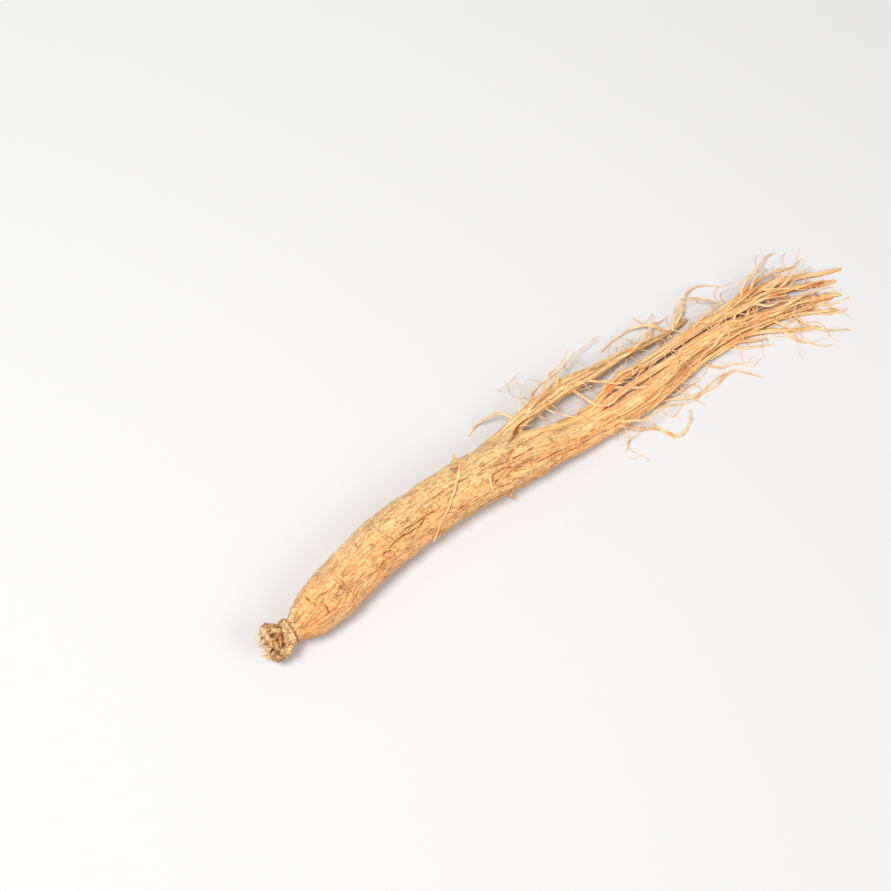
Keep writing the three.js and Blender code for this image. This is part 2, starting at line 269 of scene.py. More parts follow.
def limb_frames(line):
    """The way along, the side and the top at each row of a middle line. The side starts at -Y."""
    along = np.gradient(line[:, :3], axis=0)
    along /= np.linalg.norm(along, axis=1, keepdims=True)
    side = np.array([0.0, -1.0, 0.0])
    sides = []
    for way in along:
        side = unit(side - way * (side @ way))
        sides.append(side)
    sides = np.array(sides)
    return along, sides, np.cross(sides, along)


def tube(line, sides, relief=None):
    """Points and faces of a closed skin round a middle line. Both of its ends close in a point."""
    along, side, top = limb_frames(line)
    around = np.arange(sides) / sides * 2 * math.pi
    reach = np.repeat(line[:, 3:4], sides, axis=1)
    if relief is not None:
        reach = reach + relief(line[:, :1] + 0 * reach, around[None] + 0 * reach, reach)
    spread = side[:, None] * np.cos(around)[None, :, None] + top[:, None] * np.sin(around)[None, :, None]
    skin = (line[:, None, :3] + reach[..., None] * spread)[1:-1]
    rings = len(skin)
    points = np.vstack([line[:1, :3], skin.reshape(-1, 3), line[-1:, :3]])
    end = len(points) - 1
    index = 1 + np.arange(rings * sides).reshape(rings, sides)
    turned = np.roll(index, -1, axis=1)
    faces = np.stack([index[:-1], index[1:], turned[1:], turned[:-1]], axis=-1).reshape(-1, 4).tolist()
    faces += [(0, a, b) for a, b in zip(index[0].tolist(), turned[0].tolist())]
    faces += [(a, end, b) for a, b in zip(index[-1].tolist(), turned[-1].tolist())]
    return points, faces


def joined(parts):
    """Several closed skins in one list of points and faces."""
    points, faces, start = [], [], 0
    for some, theirs in parts:
        points.append(some)
        faces += [tuple(start + i for i in face) for face in theirs]
        start += len(some)
    return np.vstack(points), faces


def as_object(name, points, faces):
    """A mesh object from points in millimetres from the neck."""
    mesh = bpy.data.meshes.new(name)
    mesh.from_pydata(((points + NECK) * MM).tolist(), [], faces)
    mesh.update()
    return placed(name, mesh)


def remeshed(name, points, faces, voxel):
    """One even skin round skins that overlap, as an object of the same name."""
    rough = as_object(name + "_rough", points, faces)
    remesh = rough.modifiers.new("one skin", "REMESH")
    remesh.mode = "VOXEL"
    remesh.voxel_size = voxel * MM
    evaluated = rough.evaluated_get(bpy.context.evaluated_depsgraph_get())
    mesh = bpy.data.meshes.new_from_object(evaluated)
    mesh.name = name
    bpy.data.objects.remove(rough)
    return placed(name, mesh)


def mesh_points(mesh, what="co"):
    rows = np.empty(3 * len(mesh.vertices))
    mesh.vertices.foreach_get(what, rows)
    return rows.reshape(-1, 3)


def set_points(mesh, points):
    mesh.vertices.foreach_set("co", ((points + NECK) * MM).ravel())
    mesh.update()


def shade_smooth(mesh):
    mesh.polygons.foreach_set("use_smooth", [True] * len(mesh.polygons))


def set_attributes(mesh, **named):
    """Keeps numbers or vectors at the points of a mesh, for its material."""
    for name, values in named.items():
        kind, field = ("FLOAT", "value") if values.ndim == 1 else ("FLOAT_VECTOR", "vector")
        made = mesh.attributes.new(name, kind, "POINT")
        made.data.foreach_set(field, values.astype(np.float32).ravel())


def smoothed(points, mesh, weight, rounds):
    """Points moved towards the middle of their neighbours, each by its own weight."""
    edges = np.empty(2 * len(mesh.edges), np.int32)
    mesh.edges.foreach_get("vertices", edges)
    a, b = edges.reshape(-1, 2).T
    count = np.bincount(a, minlength=len(points)) + np.bincount(b, minlength=len(points))
    for _ in range(rounds):
        middle = np.stack([
            np.bincount(a, points[b, axis], len(points)) + np.bincount(b, points[a, axis], len(points))
            for axis in range(3)
        ], axis=1) / count[:, None]
        points = points + weight[:, None] * (middle - points)
    return points


def place_on_limb(points, line):
    """Where points lie on a limb: x of its middle, the two offsets from it, and its radius there."""
    along, side, top = limb_frames(line)
    middle = line[:, :3]
    nearest = np.empty(len(points), np.int64)
    for start in range(0, len(points), POINTS_AT_A_TIME):
        some = slice(start, start + POINTS_AT_A_TIME)
        apart = (middle ** 2).sum(1)[None] - 2 * points[some] @ middle.T
        nearest[some] = apart.argmin(1)
    off = points - middle[nearest]
    past = (off * along[nearest]).sum(1)
    return (
        middle[nearest, 0] + past * along[nearest, 0],
        (off * side[nearest]).sum(1),
        (off * top[nearest]).sum(1),
        line[nearest, 3],
    )


def spot_on(stations, share, turn):
    """Middle, radius, way along and way out at a share of a limb's length and a turn round it."""
    at = share * (len(stations) - 1)
    i = min(int(at), len(stations) - 2)
    here = stations[i] + (stations[i + 1] - stations[i]) * (at - i)
    along = unit((stations[i + 1] - stations[i])[:3])
    sideways = unit(np.array([-along[1], along[0], 0]))
    out = sideways * math.cos(turn) + np.cross(along, sideways) * math.sin(turn)
    return here[:3], here[3], along, out


def stump_line(stations, share, turn, length):
    """A stump leans towards the tips, as the rootlet did that it is left of."""
    middle, radius, along, out = spot_on(stations, share, turn)
    heading = unit(out + 0.5 * along)
    start = middle + 0.7 * radius * out
    rows = [[*(start + heading * share * (0.3 * radius + length)), STUMP_RADIUS - 0.4 * share]
            for share in (0, 0.5, 1)]
    return smooth_line(np.array(rows), 6)


draw = seeded_random(RANDOM_SEED)
furrows = []
for i in range(FURROW_COUNT):
    furrows.append({
        "around": (i + 0.8 * next(draw)) / FURROW_COUNT * 2 * math.pi,
        "start": 8 + 75 * next(draw),
        "length": 22 + 50 * next(draw),
        "depth": FURROW_DEPTH * (0.45 + 0.55 * next(draw)),
        "drift": 0.009 * (next(draw) - 0.5),
        "width": 0.15 + 0.08 * next(draw),
    })


def in_furrow(furrow, along, around):
    """How deep a furrow is along its way, from 0 to 1, and the turn from its wandering middle."""
    past = along - furrow["start"]
    share = np.clip(past / furrow["length"], 0, 1)
    middle = furrow["around"] + furrow["drift"] * past + 0.1 * np.sin(along / 5 + furrow["start"])
    return np.sin(math.pi * share), turn_from(middle, around)


def furrow_relief(along, around):
    """Long furrows: each starts at its own place round the trunk, wanders, and fades at both ends."""
    relief = np.zeros_like(along)
    for furrow in furrows:
        deep, turn = in_furrow(furrow, along, around)
        relief -= furrow["depth"] * deep * np.exp(-(turn / furrow["width"]) ** 2)
    return relief


def trunk_relief(along, around, radius):
    """Swells, wrinkles, shoulder rings and furrows, as deep as the leg is thick."""
    scale = np.minimum(1, radius / TRUNK_RADIUS)
    at_shoulder = np.exp(-((along - 9) / 9) ** 2)
    waver = 1.3 * unevenness(along / 6, around, 5)
    rings = SHOULDER_RING_DEPTH * at_shoulder * np.sin(along * 2.1 + waver)
    swells = 0.35 * unevenness(along / 14, around, 4)
    wrinkles = WRINKLE_DEPTH * unevenness(along / 6, around, 13)
    return scale * (swells + wrinkles + rings + furrow_relief(along, around))


def leg_relief(along, around, radius):
    return 0.1 * radius * (unevenness(along / 6, around, 6) + 0.6 * unevenness(along / 15, around, 3))


def crease_field(along, around, radius):
    """How far each point is to one side or the other of the nearest crease, and that crease's depth."""
    beside = np.full(len(along), FAR_OFF)
    depth = np.zeros(len(along))

    def keep_nearest(apart, deep):
        nearer = np.abs(apart) < np.abs(beside)
        beside[nearer] = apart[nearer]
        depth[nearer] = deep[nearer]

    for deep, route in trunk_creases:
        for number, ((x0, turn0), (x1, turn1)) in enumerate(zip(route, route[1:])):
            dx, dv = x1 - x0, math.radians(turn1 - turn0) * radius
            u, v = along - x0, turn_from(math.radians(turn0), around) * radius
            share = np.clip((u * dx + v * dv) / np.hypot(dx, dv) ** 2, 0, 1)
            to_end = len(route) - 1 - number - share
            ends = np.clip(4 * (number + share) + 0.3, 0, 1) * np.clip(4 * to_end + 0.3, 0, 1)
            apart = np.hypot(u - share * dx, v - share * dv)
            keep_nearest(np.sign(u * dv - v * dx) * apart, deep * ends)
    for furrow in furrows:
        deep, turn = in_furrow(furrow, along, around)
        keep_nearest(turn * radius, 0.22 * furrow["depth"] * deep)
    return beside, depth


trunk_line = smooth_line(trunk_stations, 24)
side_leg_line = smooth_line(side_leg_stations, 20)
stumps = [stump_line(trunk_stations, *stump) for stump in trunk_stumps]
stumps += [stump_line(side_leg_stations, *stump) for stump in side_leg_stumps]
root_body = remeshed("root_body", *joined(
    [tube(trunk_line, TRUNK_SIDES), tube(side_leg_line, SIDE_LEG_SIDES)]
    + [tube(line, STUMP_SIDES) for line in stumps]
), SKIN_VOXEL)
skin = mesh_points(root_body.data) / MM - NECK

# Each point of the skin belongs to the trunk or the side leg by how near it is, and to both in the
# web. The side leg has no skin before its start.
trunk_place = place_on_limb(skin, trunk_line)
leg_place = place_on_limb(skin, side_leg_line)
over_trunk = np.hypot(trunk_place[1], trunk_place[2]) - trunk_place[3]
over_leg = np.hypot(leg_place[1], leg_place[2]) - leg_place[3]
over_leg += np.maximum(side_leg_stations[0, 0] - leg_place[0], 0)
web = np.exp(-(np.maximum(np.abs(over_trunk), np.abs(over_leg)) / WEB_WIDTH) ** 2)
trunk_share = 1 / (1 + np.exp(-(over_leg - over_trunk) / 0.5))
skin = smoothed(skin, root_body.data, np.full(len(skin), 0.5), rounds=3)
skin = smoothed(skin, root_body.data, 0.6 * np.clip(web * 1.5, 0, 1), rounds=40)
set_points(root_body.data, skin)
outwards = mesh_points(root_body.data, "normal")


def blended(on_trunk, on_leg):
    """A value that goes over from the trunk to the side leg in the web between them."""
    return on_trunk * trunk_share + on_leg * (1 - trunk_share)


along = blended(trunk_place[0], leg_place[0])
girth = blended(trunk_place[3], leg_place[3])
grain = np.stack([along] + [blended(trunk_place[i], leg_place[i] + 7) for i in (1, 2)], axis=1)
trunk_around = np.arctan2(trunk_place[2], trunk_place[1]) % (2 * math.pi)
leg_around = np.arctan2(leg_place[2], leg_place[1]) % (2 * math.pi)
limb_around = np.where(trunk_share > 0.5, trunk_around, leg_around)
on_skin = np.clip(1.6 - np.minimum(np.abs(over_trunk), np.abs(over_leg)) / 0.7, 0, 1)  # not on the stumps
thick = np.clip(girth / TRUNK_RADIUS, 0, 1) ** 0.6
shoulder = np.exp(-((along - 8) / 10) ** 2)

# Fine creases wind along the skin in dashes, straight and aslant, and across it at the shoulder.
dashes = [np.clip(0.5 + 2.2 * noise(grain / (5, 2.6, 2.6), seed), 0, 1) for seed in (4, 5, 6)]
slant = GRAIN_SLANT * along / TRUNK_RADIUS
long_creases = winding(along, limb_around, 11, 25, 11, 0.2) * dashes[0]
left_creases = winding(along, limb_around + slant, 9, 27, 12, 0.2) * dashes[1]
right_creases = winding(along, limb_around - slant, 9, 29, 13, 0.2) * dashes[2]
cross_creases = winding(along, limb_around, 1.3, 13, 18, 0.2) * dashes[1]
cross_share = np.clip(0.8 * shoulder + np.clip(noise(grain / (9, 7, 7), 15) - 0.2, 0, 1) * 1.1, 0, 1)
lengthwise = np.maximum(long_creases, np.maximum(left_creases, 0.8 * right_creases))
fine = thick * (
    FINE_CREASE_DEPTH * lengthwise * (1 - 0.4 * shoulder) + CROSS_CREASE_DEPTH * cross_creases * cross_share)
wander = grain + 1.3 * np.stack([noise(grain / (16, 7, 7), seed) for seed in (1, 2, 3)], axis=1)
ripples = thick * (
    0.14 * noise(wander / (8, 4, 4), 34) + 0.1 * noise(wander / (3.4, 1.9, 1.9), 19)
    + 0.06 * noise(wander / (1.7, 1.1, 1.1), 20)
)
leg_grooves = np.clip((8.6 - girth) / 2.2, 0, 1) * np.where(
    trunk_share > 0.5,
    winding(along, trunk_around, 40, 13, 32, 0.22),
    winding(along, leg_around, 40, 9, 33, 0.22),
)

# Then the creases, the crotch and the scars that have known places.
beside_crease, crease_deep = crease_field(along, trunk_around, TRUNK_RADIUS)
crease_deep = crease_deep * trunk_share * thick
known = crease_deep * np.exp(-(beside_crease / 0.5) ** 2)
crotch_apart = np.full(len(skin), FAR_OFF)
for start, end in zip(crotch_line, crotch_line[1:]):
    off = skin[:, :2] - start
    share = np.clip(off @ (end - start) / ((end - start) @ (end - start)), 0, 1)
    crotch_apart = np.minimum(crotch_apart, np.linalg.norm(off - share[:, None] * (end - start), axis=1))
crotch = np.exp(-(crotch_apart / 0.7) ** 2) * (outwards[:, 2] > 0)
scars = np.zeros(len(skin))
scar_rim = np.zeros(len(skin))
for x, turn, radius in trunk_scars:
    away = turn_from(math.radians(turn), trunk_around)
    apart = np.hypot(along - x, away * TRUNK_RADIUS) / radius * (1 + 0.3 * noise(grain / 0.8, 16))
    scars = np.maximum(scars, np.exp(-apart ** 2) * trunk_share)
    scar_rim = np.maximum(scar_rim, np.exp(-((apart - 1.3) / 0.45) ** 2) * trunk_share)

soft = blended(SOFTNESS * trunk_relief(along, trunk_around, girth), leg_relief(along, leg_around, girth))
relief = soft * (1 - 0.6 * web) - fine + ripples - LEG_GROOVE_DEPTH * leg_grooves
relief -= KNOWN_CREASE_DEPTH * known * (1 - 0.3 * web)
relief += SCAR_RIM_HEIGHT * scar_rim - SCAR_DEPTH * scars - CROTCH_DEPTH * crotch
skin = skin + outwards * (relief * on_skin)[:, None]
skin[:, 2] = np.maximum(skin[:, 2], REST_HEIGHT)
set_points(root_body.data, skin)

flat = unrolled(along, trunk_around, np.sqrt(girth * TRUNK_RADIUS)) * trunk_share[:, None]
leg_flat = unrolled(along, leg_around, np.sqrt(girth * TRUNK_RADIUS)) + (0, LEG_SEAM_SHIFT, 0)
set_grains(root_body.data, flat + leg_flat * (1 - trunk_share[:, None]))
# The shoulder and the legs are warmer than the middle of the trunk, and the -Y side has painted warm shade.
slow_warmth = np.interp(along, (10, 40, 65, 98, 118), (0.72, 0.58, 0.3, 0.27, 0.64))
warmth = slow_warmth + 0.42 * np.cos(trunk_around - 0.1) + 0.45 * noise(grain / (22, 9, 9), 17)
set_attributes(
    root_body.data,
    # creases and grooves are painted darker: partly brown skin, partly painted shade
    crease=np.clip((1.3 * fine + 0.9 * leg_grooves ** 2) * on_skin, 0, 1),
    dashed=np.where(along < 60, 1, np.clip((girth - 5) / 4, 0.12, 1)),
    beside_crease=beside_crease,
    crease_deep=crease_deep * on_skin * np.exp(-(beside_crease / 0.9) ** 2),
    # the scars are darker skin of their own; the crotch is painted shade
    scar=np.clip(scars + 0.5 * scar_rim + 2.6 * crotch ** 2, 0, 1),
    warmth=np.clip(warmth, 0, 1),
)
shade_smooth(root_body.data)


def add_node(tree, kind, settings, inputs):
    """A node with its settings, and its inputs by name or number, each a value or another's output."""
    new = tree.nodes.new(kind)
    for name, value in settings.items():
        setattr(new, name, value)
    for name, value in inputs.items():
        if isinstance(value, bpy.types.NodeSocket):
            tree.links.new(value, new.inputs[name])
        else:
            new.inputs[name].default_value = value
    return new


def attribute(tree, name, what="Fac"):
    return add_node(tree, "ShaderNodeAttribute", {"attribute_name": name}, {}).outputs[what]


def maths(tree, operation, a, b=0.0):
    return add_node(tree, "ShaderNodeMath", {"operation": operation}, {0: a, 1: b}).outputs[0]


def times(tree, a, b):
    return maths(tree, "MULTIPLY", a, b)


def ramp(tree, value, low, high, start=0.0, end=1.0):
    """Value from low to high, drawn out to start to end and held there."""
    return add_node(tree, "ShaderNodeMapRange", {}, {
        "Value": value, "From Min": low, "From Max": high, "To Min": start, "To Max": end,
    }).outputs["Result"]


def mixed(tree, share, first, second):
    mix = add_node(tree, "ShaderNodeMix", {"data_type": "RGBA"}, {"Factor": share, 6: first, 7: second})
    return mix.outputs[2]


def layered(tree, base, layers):
    """A colour with others laid over it in turn, each in its share."""
    for share, tint in layers:
        base = mixed(tree, share, base, tint)
    return base


def colour(red, green, blue):
    """A colour that reads as these sRGB numbers, 0 to 255."""
    shares = [c / 255 for c in (red, green, blue)]
    return [((s + 0.055) / 1.055) ** 2.4 if s > 0.04 else s / 12.92 for s in shares] + [1]


def stretched(tree, vector, scale):
    return add_node(tree, "ShaderNodeMapping", {}, {"Vector": vector, "Scale": scale}).outputs["Vector"]


def fractal(tree, vector, scale, detail=3.0, roughness=0.55, dimensions="3D"):
    return add_node(tree, "ShaderNodeTexNoise", {"noise_dimensions": dimensions}, {
        "Vector": vector, "Scale": scale, "Detail": detail, "Roughness": roughness,
    }).outputs["Fac"]


def thin_lines(tree, vector, scale, width, detail=0.6, dimensions="3D"):
    """Winding lines where the noise passes its middle, 1 on the line."""
    value = fractal(tree, vector, scale, detail, 0.5, dimensions)
    off_middle = maths(tree, "ABSOLUTE", maths(tree, "SUBTRACT", value, 0.5))
    return ramp(tree, off_middle, 0.2 * width, width, 1.0, 0.0)


def new_material(name):
    """A material, its tree and its shader."""
    material = bpy.data.materials.new(name)
    material.use_nodes = True
    return material, material.node_tree, material.node_tree.nodes["Principled BSDF"]


def dress(tree, shader, base, height, bump, strength, specular):
    """Gives a shader its colour, its fine bumps and the faint gloss of a dry root."""
    tree.links.new(base, shader.inputs["Base Color"])
    bumps = add_node(tree, "ShaderNodeBump", {}, {"Height": height, "Distance": bump, "Strength": strength})
    tree.links.new(bumps.outputs["Normal"], shader.inputs["Normal"])
    shader.inputs["Specular IOR Level"].default_value = specular


def skin_material(name, pale, warm, grey, dark, line_depth=1.0, bump=0.0003):
    """Dried skin: cream, warmer and greyer in patches, with brown creases and dashes along it, partly
    painted shade.
    """
    material, tree, shader = new_material(name)
    here = add_node(tree, "ShaderNodeTexCoord", {}, {}).outputs["Object"]
    grain_at = attribute(tree, "grain", "Vector")
    waver = add_node(tree, "ShaderNodeTexNoise", {"noise_dimensions": "2D"}, {
        "Vector": stretched(tree, grain_at, (0.3, 1, 1)), "Scale": 0.35, "Detail": 1.0})
    shift = add_node(tree, "ShaderNodeVectorMath", {"operation": "SCALE"}, {
        0: waver.outputs["Color"], "Scale": 1.6}).outputs[0]

    def bent(name):
        """A grain whose lines waver a little."""
        return add_node(tree, "ShaderNodeVectorMath", {"operation": "ADD"}, {
            0: attribute(tree, name, "Vector"), 1: shift}).outputs[0]

    def flat_noise(vector, scale, detail=3.0, roughness=0.55):
        return fractal(tree, vector, scale, detail, roughness, "2D")

    def broken(lines, vector, scale, low, high):
        """Lines cut into dashes."""
        return times(tree, lines, ramp(tree, flat_noise(vector, scale, 1.0), low, high))

    def broken_lines(vector, stretch, scale, width, dash_scale, low, high):
        lines = thin_lines(tree, stretched(tree, vector, stretch), scale, width, 0.6, "2D")
        return broken(lines, vector, dash_scale, low, high)

    def net(vector, scale, width):
        """Thin creases round small puffed cells that are long along the grain, 1 on a crease."""
        kinks = add_node(tree, "ShaderNodeTexNoise", {"noise_dimensions": "2D"}, {
            "Vector": vector, "Scale": 0.8, "Detail": 1.0})
        kinked = add_node(tree, "ShaderNodeVectorMath", {"operation": "MULTIPLY_ADD"}, {
            0: kinks.outputs["Color"], 1: (1.4, 1.4, 1.4), 2: vector}).outputs[0]
        cells = add_node(tree, "ShaderNodeTexVoronoi", {
            "feature": "DISTANCE_TO_EDGE", "voronoi_dimensions": "2D",
        }, {"Vector": stretched(tree, kinked, (0.42, 1, 1)), "Scale": scale})
        return ramp(tree, cells.outputs["Distance"], 0.0, width, 1.0, 0.0)

    def short_dashes(vector, stretch, scale, low):
        noisy = flat_noise(stretched(tree, vector, (stretch, 1, 1)), scale, 2.0, 0.6)
        return ramp(tree, noisy, low, 0.66)

    def most(first, *others):
        """The greatest of several numbers."""
        for other in others:
            first = maths(tree, "MAXIMUM", first, other)
        return first

    straight, left, right = bent("grain"), bent("grain_left"), bent("grain_right")
    dashed = attribute(tree, "dashed")
    lines = times(tree, ramp(tree, dashed, 0.1, 1.0, 0.7, 1.0), most(
        broken_lines(left, (0.13, 1, 1), 0.4, 0.032, 0.3, 0.47, 0.56),
        broken_lines(right, (0.13, 1, 1), 0.44, 0.032, 0.33, 0.5, 0.58),
        broken_lines(straight, (0.06, 1, 1), 0.36, 0.03, 0.2, 0.46, 0.54),
        times(tree, broken_lines(straight, (1, 0.16, 1), 0.45, 0.03, 0.24, 0.56, 0.66), dashed),
    ))
    dashes = times(tree, dashed, most(
        short_dashes(left, 0.24, 1.3, 0.55), short_dashes(right, 0.28, 1.45, 0.56)))
    net_lines = times(tree, dashed, most(
        broken(net(left, 0.74, 0.15), left, 0.4, 0.36, 0.54),
        broken(net(right, 0.52, 0.11), right, 0.4, 0.44, 0.58),
    ))
    puffed = times(tree, net(left, 0.74, 0.5), dashed)
    crease_deep = attribute(tree, "crease_deep")
    near_crease = ramp(tree, maths(tree, "ABSOLUTE", attribute(tree, "beside_crease")), 0.08, 0.3, 1.0, 0.0)
    furrow = times(tree, near_crease, ramp(tree, crease_deep, 0.06, 0.42))
    furrow = times(tree, furrow, ramp(tree, flat_noise(straight, 0.5, 2.0), 0.36, 0.5, 0.4, 1.0))
    streaks = flat_noise(stretched(tree, straight, (0.07, 1, 1)), 1.3, 4.0, 0.6)
    specks = flat_noise(grain_at, 1.8, 3.0, 0.6)

    patches = maths(tree, "SUBTRACT", fractal(tree, here, 90.0, 4.0, 0.6), 0.5)
    warmth = maths(tree, "ADD", attribute(tree, "warmth"), patches)
    # warmer round the known creases: partly the skin's colour, partly painted shade
    warmth = maths(tree, "ADD", warmth, ramp(tree, crease_deep, 0.02, 0.4, 0.0, 0.4))
    pale_streaks = times(tree, ramp(tree, streaks, 0.5, 0.34), ramp(tree, dashed, 0.1, 1.0, 0.55, 0.35))
    dark_streaks = times(tree, ramp(tree, streaks, 0.51, 0.68), ramp(tree, dashed, 0.1, 1.0, 0.4, 0.1))
    base = layered(tree, pale, (
        (ramp(tree, warmth, 0.3, 1.1), warm),
        (ramp(tree, fractal(tree, here, 55.0, 4.0, 0.65), 0.5, 0.72, 0.0, 0.4), grey),
        (pale_streaks, colour(255, 228, 178)),
        (dark_streaks, dark),
        (ramp(tree, specks, 0.55, 0.75, 0.0, 0.12), dark),
        # the dashes, lines, creases and furrows below: partly brown skin, partly painted shade
        (times(tree, dashes, 0.13 * line_depth), dark),
        (times(tree, net_lines, 0.42 * line_depth), dark),
        (times(tree, lines, 0.5 * line_depth), dark),
        (ramp(tree, attribute(tree, "crease"), 0.14, 0.9, 0.0, 0.66), dark),
        (ramp(tree, attribute(tree, "scar"), 0.3, 1.2, 0.0, 0.75), dark),
        (times(tree, furrow, 0.85), colour(122, 66, 28)),
    ))
    tree.links.new(ramp(tree, streaks, 0.3, 0.7, 0.6, 0.78), shader.inputs["Roughness"])

    height = times(tree, most(times(tree, dashes, 0.3), lines, furrow), -1.0)
    height = maths(tree, "SUBTRACT", height, times(tree, puffed, 0.7))
    height = maths(tree, "ADD", height, times(tree, specks, 0.3))
    height = maths(tree, "ADD", height, times(tree, streaks, 0.8))
    dress(tree, shader, base, height, bump, 0.9, 0.25)
    shader.inputs["Sheen Weight"].default_value = 0.2
    shader.inputs["Sheen Roughness"].default_value = 0.4
    shader.inputs["Sheen Tint"].default_value = (1.0, 0.9, 0.76, 1)
    return material


root_body.data.materials.append(skin_material(
    "dried_skin", pale=colour(255, 208, 142), warm=colour(248, 174, 104),
    grey=colour(244, 203, 143), dark=colour(148, 82, 38)))
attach(root_body, "root")
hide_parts("ginseng_root")


# The head is the stub of the stem: an uneven collar and a knob that grew a ring each year, with the
# scars of earlier stems on it. It is woodier and browner than the root, flaked and pitted, and it
# grew out of the trunk's end, so its skin starts inside the neck.
HEAD_VOXEL = 0.2
COLLAR_END = -5.0  # these four are places along the stem
NECK_GROOVE = -0.85
TORN_START = -9.3
HIGHLIGHT_RIM_MIDDLE = -9.4
PIT_DEPTH = 0.9
COLLAR_GROOVE_DEPTH = 0.55
NECK_GROOVE_DEPTH = 0.4
head_stations = np.array([
    (3.4, 0.2, 9.6, 3.4),
    (0.9, 0.1, 9.6, 3.9),
    (-0.6, 0, 9.6, 4.8),
    (-2.4, 0.1, 9.7, 4.9),
    (-3.6, 0.2, 9.8, 4.5),
    (-5.0, 0.3, 9.9, 5.4),
    (-7.4, 0.5, 10.0, 5.9),
    (-9.6, 0.6, 10.0, 5.5),
    (-10.6, 0.6, 10.0, 4.2),
])
# Scars of earlier stems, as lumps on the knob: x, y, z and radius.
stem_scars = [
    (-7.6, 4.4, 10.9, 2.9), (-8.3, -3.6, 8.3, 3.4), (-4.2, 0.4, 14.0, 2.1), (-5.4, -4.4, 10.6, 2.3),
    (-6.8, 0.2, 5.6, 2.7),
]
# Dark pits between the lumps, and the hollows of the broken face: x, y, z and radius.
head_pits = [
    (-4.1, 3.3, 14.4, 0.6), (-4.3, 1.2, 15.0, 0.5), (-7.6, 1.6, 15.2, 0.9), (-6.3, -3.2, 13.8, 0.9),
    (-4.9, -4.9, 11.0, 0.7), (-7.1, -0.7, 15.2, 0.7), (-9.8, -2.6, 12.4, 1.1),
    (-11.0, -2.4, 10.0, 1.5), (-11.0, 2.0, 10.0, 1.6), (-10.6, 0.2, 7.4, 1.4),
]


def ball(x, y, z, radius):
    """A small round lump as a tube along X."""
    turn = np.linspace(0, math.pi, 15)
    rows = [(x - radius * math.cos(a), y, z, max(radius * math.sin(a), 0.0)) for a in turn]
    return tube(np.array(rows), 24)


head_line = smooth_line(head_stations, 8)
root_head = remeshed("root_head", *joined(
    [tube(head_line, 48)] + [ball(*lump) for lump in stem_scars]), HEAD_VOXEL)
knob = mesh_points(root_head.data) / MM - NECK
knob = smoothed(knob, root_head.data, np.full(len(knob), 0.5), rounds=8)
set_points(root_head.data, knob)
outwards = mesh_points(root_head.data, "normal")
head_place = place_on_limb(knob, head_line)
head_grain = np.stack(head_place[:3], axis=1)
twisted = head_grain + 0.8 * np.stack([noise(head_grain / 2.2, seed) for seed in (21, 22, 23)], axis=1)
ring_creases = valleys(twisted / (1.1, 5, 5), 24, 0.22)
flakes = valleys(twisted / (2.2, 1.5, 1.5), 25, 0.2)
small_flakes = valleys(twisted / (1.1, 0.8, 0.8), 26, 0.25)
lumps = noise(twisted / 3.0, 27)
knob_x, knob_y, knob_z = knob.T
aslant = np.stack([0.8 * knob_x + 0.6 * knob_y, 3.2 * (0.8 * knob_y - 0.6 * knob_x), 2 * knob_z], axis=1)
slivers = noise(aslant / 2.2, 35)
pits = np.zeros(len(knob))
for x, y, z, radius in head_pits:
    apart = np.linalg.norm(knob - (x, y, z), axis=1) * (1 + 0.3 * noise(knob / 0.9, 28))
    pits = np.maximum(pits, np.exp(-(apart / radius) ** 2))
# The collar ends in a groove that runs aslant round the stub, and the neck in a thin one.
from_collar = head_place[0] - (COLLAR_END + 0.32 * knob_y)
on_collar = np.clip(0.5 + from_collar / 1.5, 0, 1)
groove_gaps = np.clip(0.55 + 1.1 * noise(knob / 2.4, 30), 0.1, 1)
collar_groove = groove_gaps * np.exp(-((from_collar + 0.5 * lumps) / 0.45) ** 2)
from_neck_groove = head_place[0] - NECK_GROOVE + 0.2 * lumps
neck_groove = (0.4 + 0.6 * groove_gaps) * np.exp(-(from_neck_groove / 0.3) ** 2)
cuts = (
    0.2 * ring_creases * (1 - 0.6 * on_collar) + 0.3 * flakes * (1 - 0.5 * on_collar)
    + 0.13 * small_flakes
)
shaping = (
    0.24 * lumps + 0.25 * on_collar + 0.16 * slivers
    - cuts - PIT_DEPTH * pits - COLLAR_GROOVE_DEPTH * collar_groove - NECK_GROOVE_DEPTH * neck_groove
)
knob = knob + outwards * shaping[:, None]
set_points(root_head.data, knob)
knob_y, knob_z = knob[:, 1], knob[:, 2]
torn = np.clip((TORN_START - head_place[0]) / 0.6, 0, 1) * np.clip((12.8 - knob_z) / 1.5, 0, 1)
torn *= np.clip((5.6 - knob_y) / 1.0, 0, 1) * np.clip((knob_y + 4.4) / 1.4, 0, 1)
# The knob's rounded edge on its upper left is painted pale: a painted highlight.
rim = np.exp(-((head_place[0] - HIGHLIGHT_RIM_MIDDLE + 0.3 * lumps) / 0.7) ** 2)
rim *= np.clip((knob_y - 0.5) / 2, 0, 1)
brown = 0.55 + 0.7 * noise(head_grain / 3.0, 29) - 0.45 * on_collar
brown -= 0.5 * np.clip((head_place[2] - 3) / 4, 0, 1)
set_attributes(
    root_head.data,
    grain=head_grain,
    # cuts, pits and grooves are painted darker: partly brown, partly painted shade
    crease=np.clip(0.9 * cuts + 1.3 * pits + 0.8 * collar_groove + 0.8 * neck_groove, 0, 1),
    torn=torn,
    rim=rim * np.clip((knob_z - 8) / 2, 0, 1),
    warmth=np.clip(brown, 0, 1),
)
shade_smooth(root_head.data)


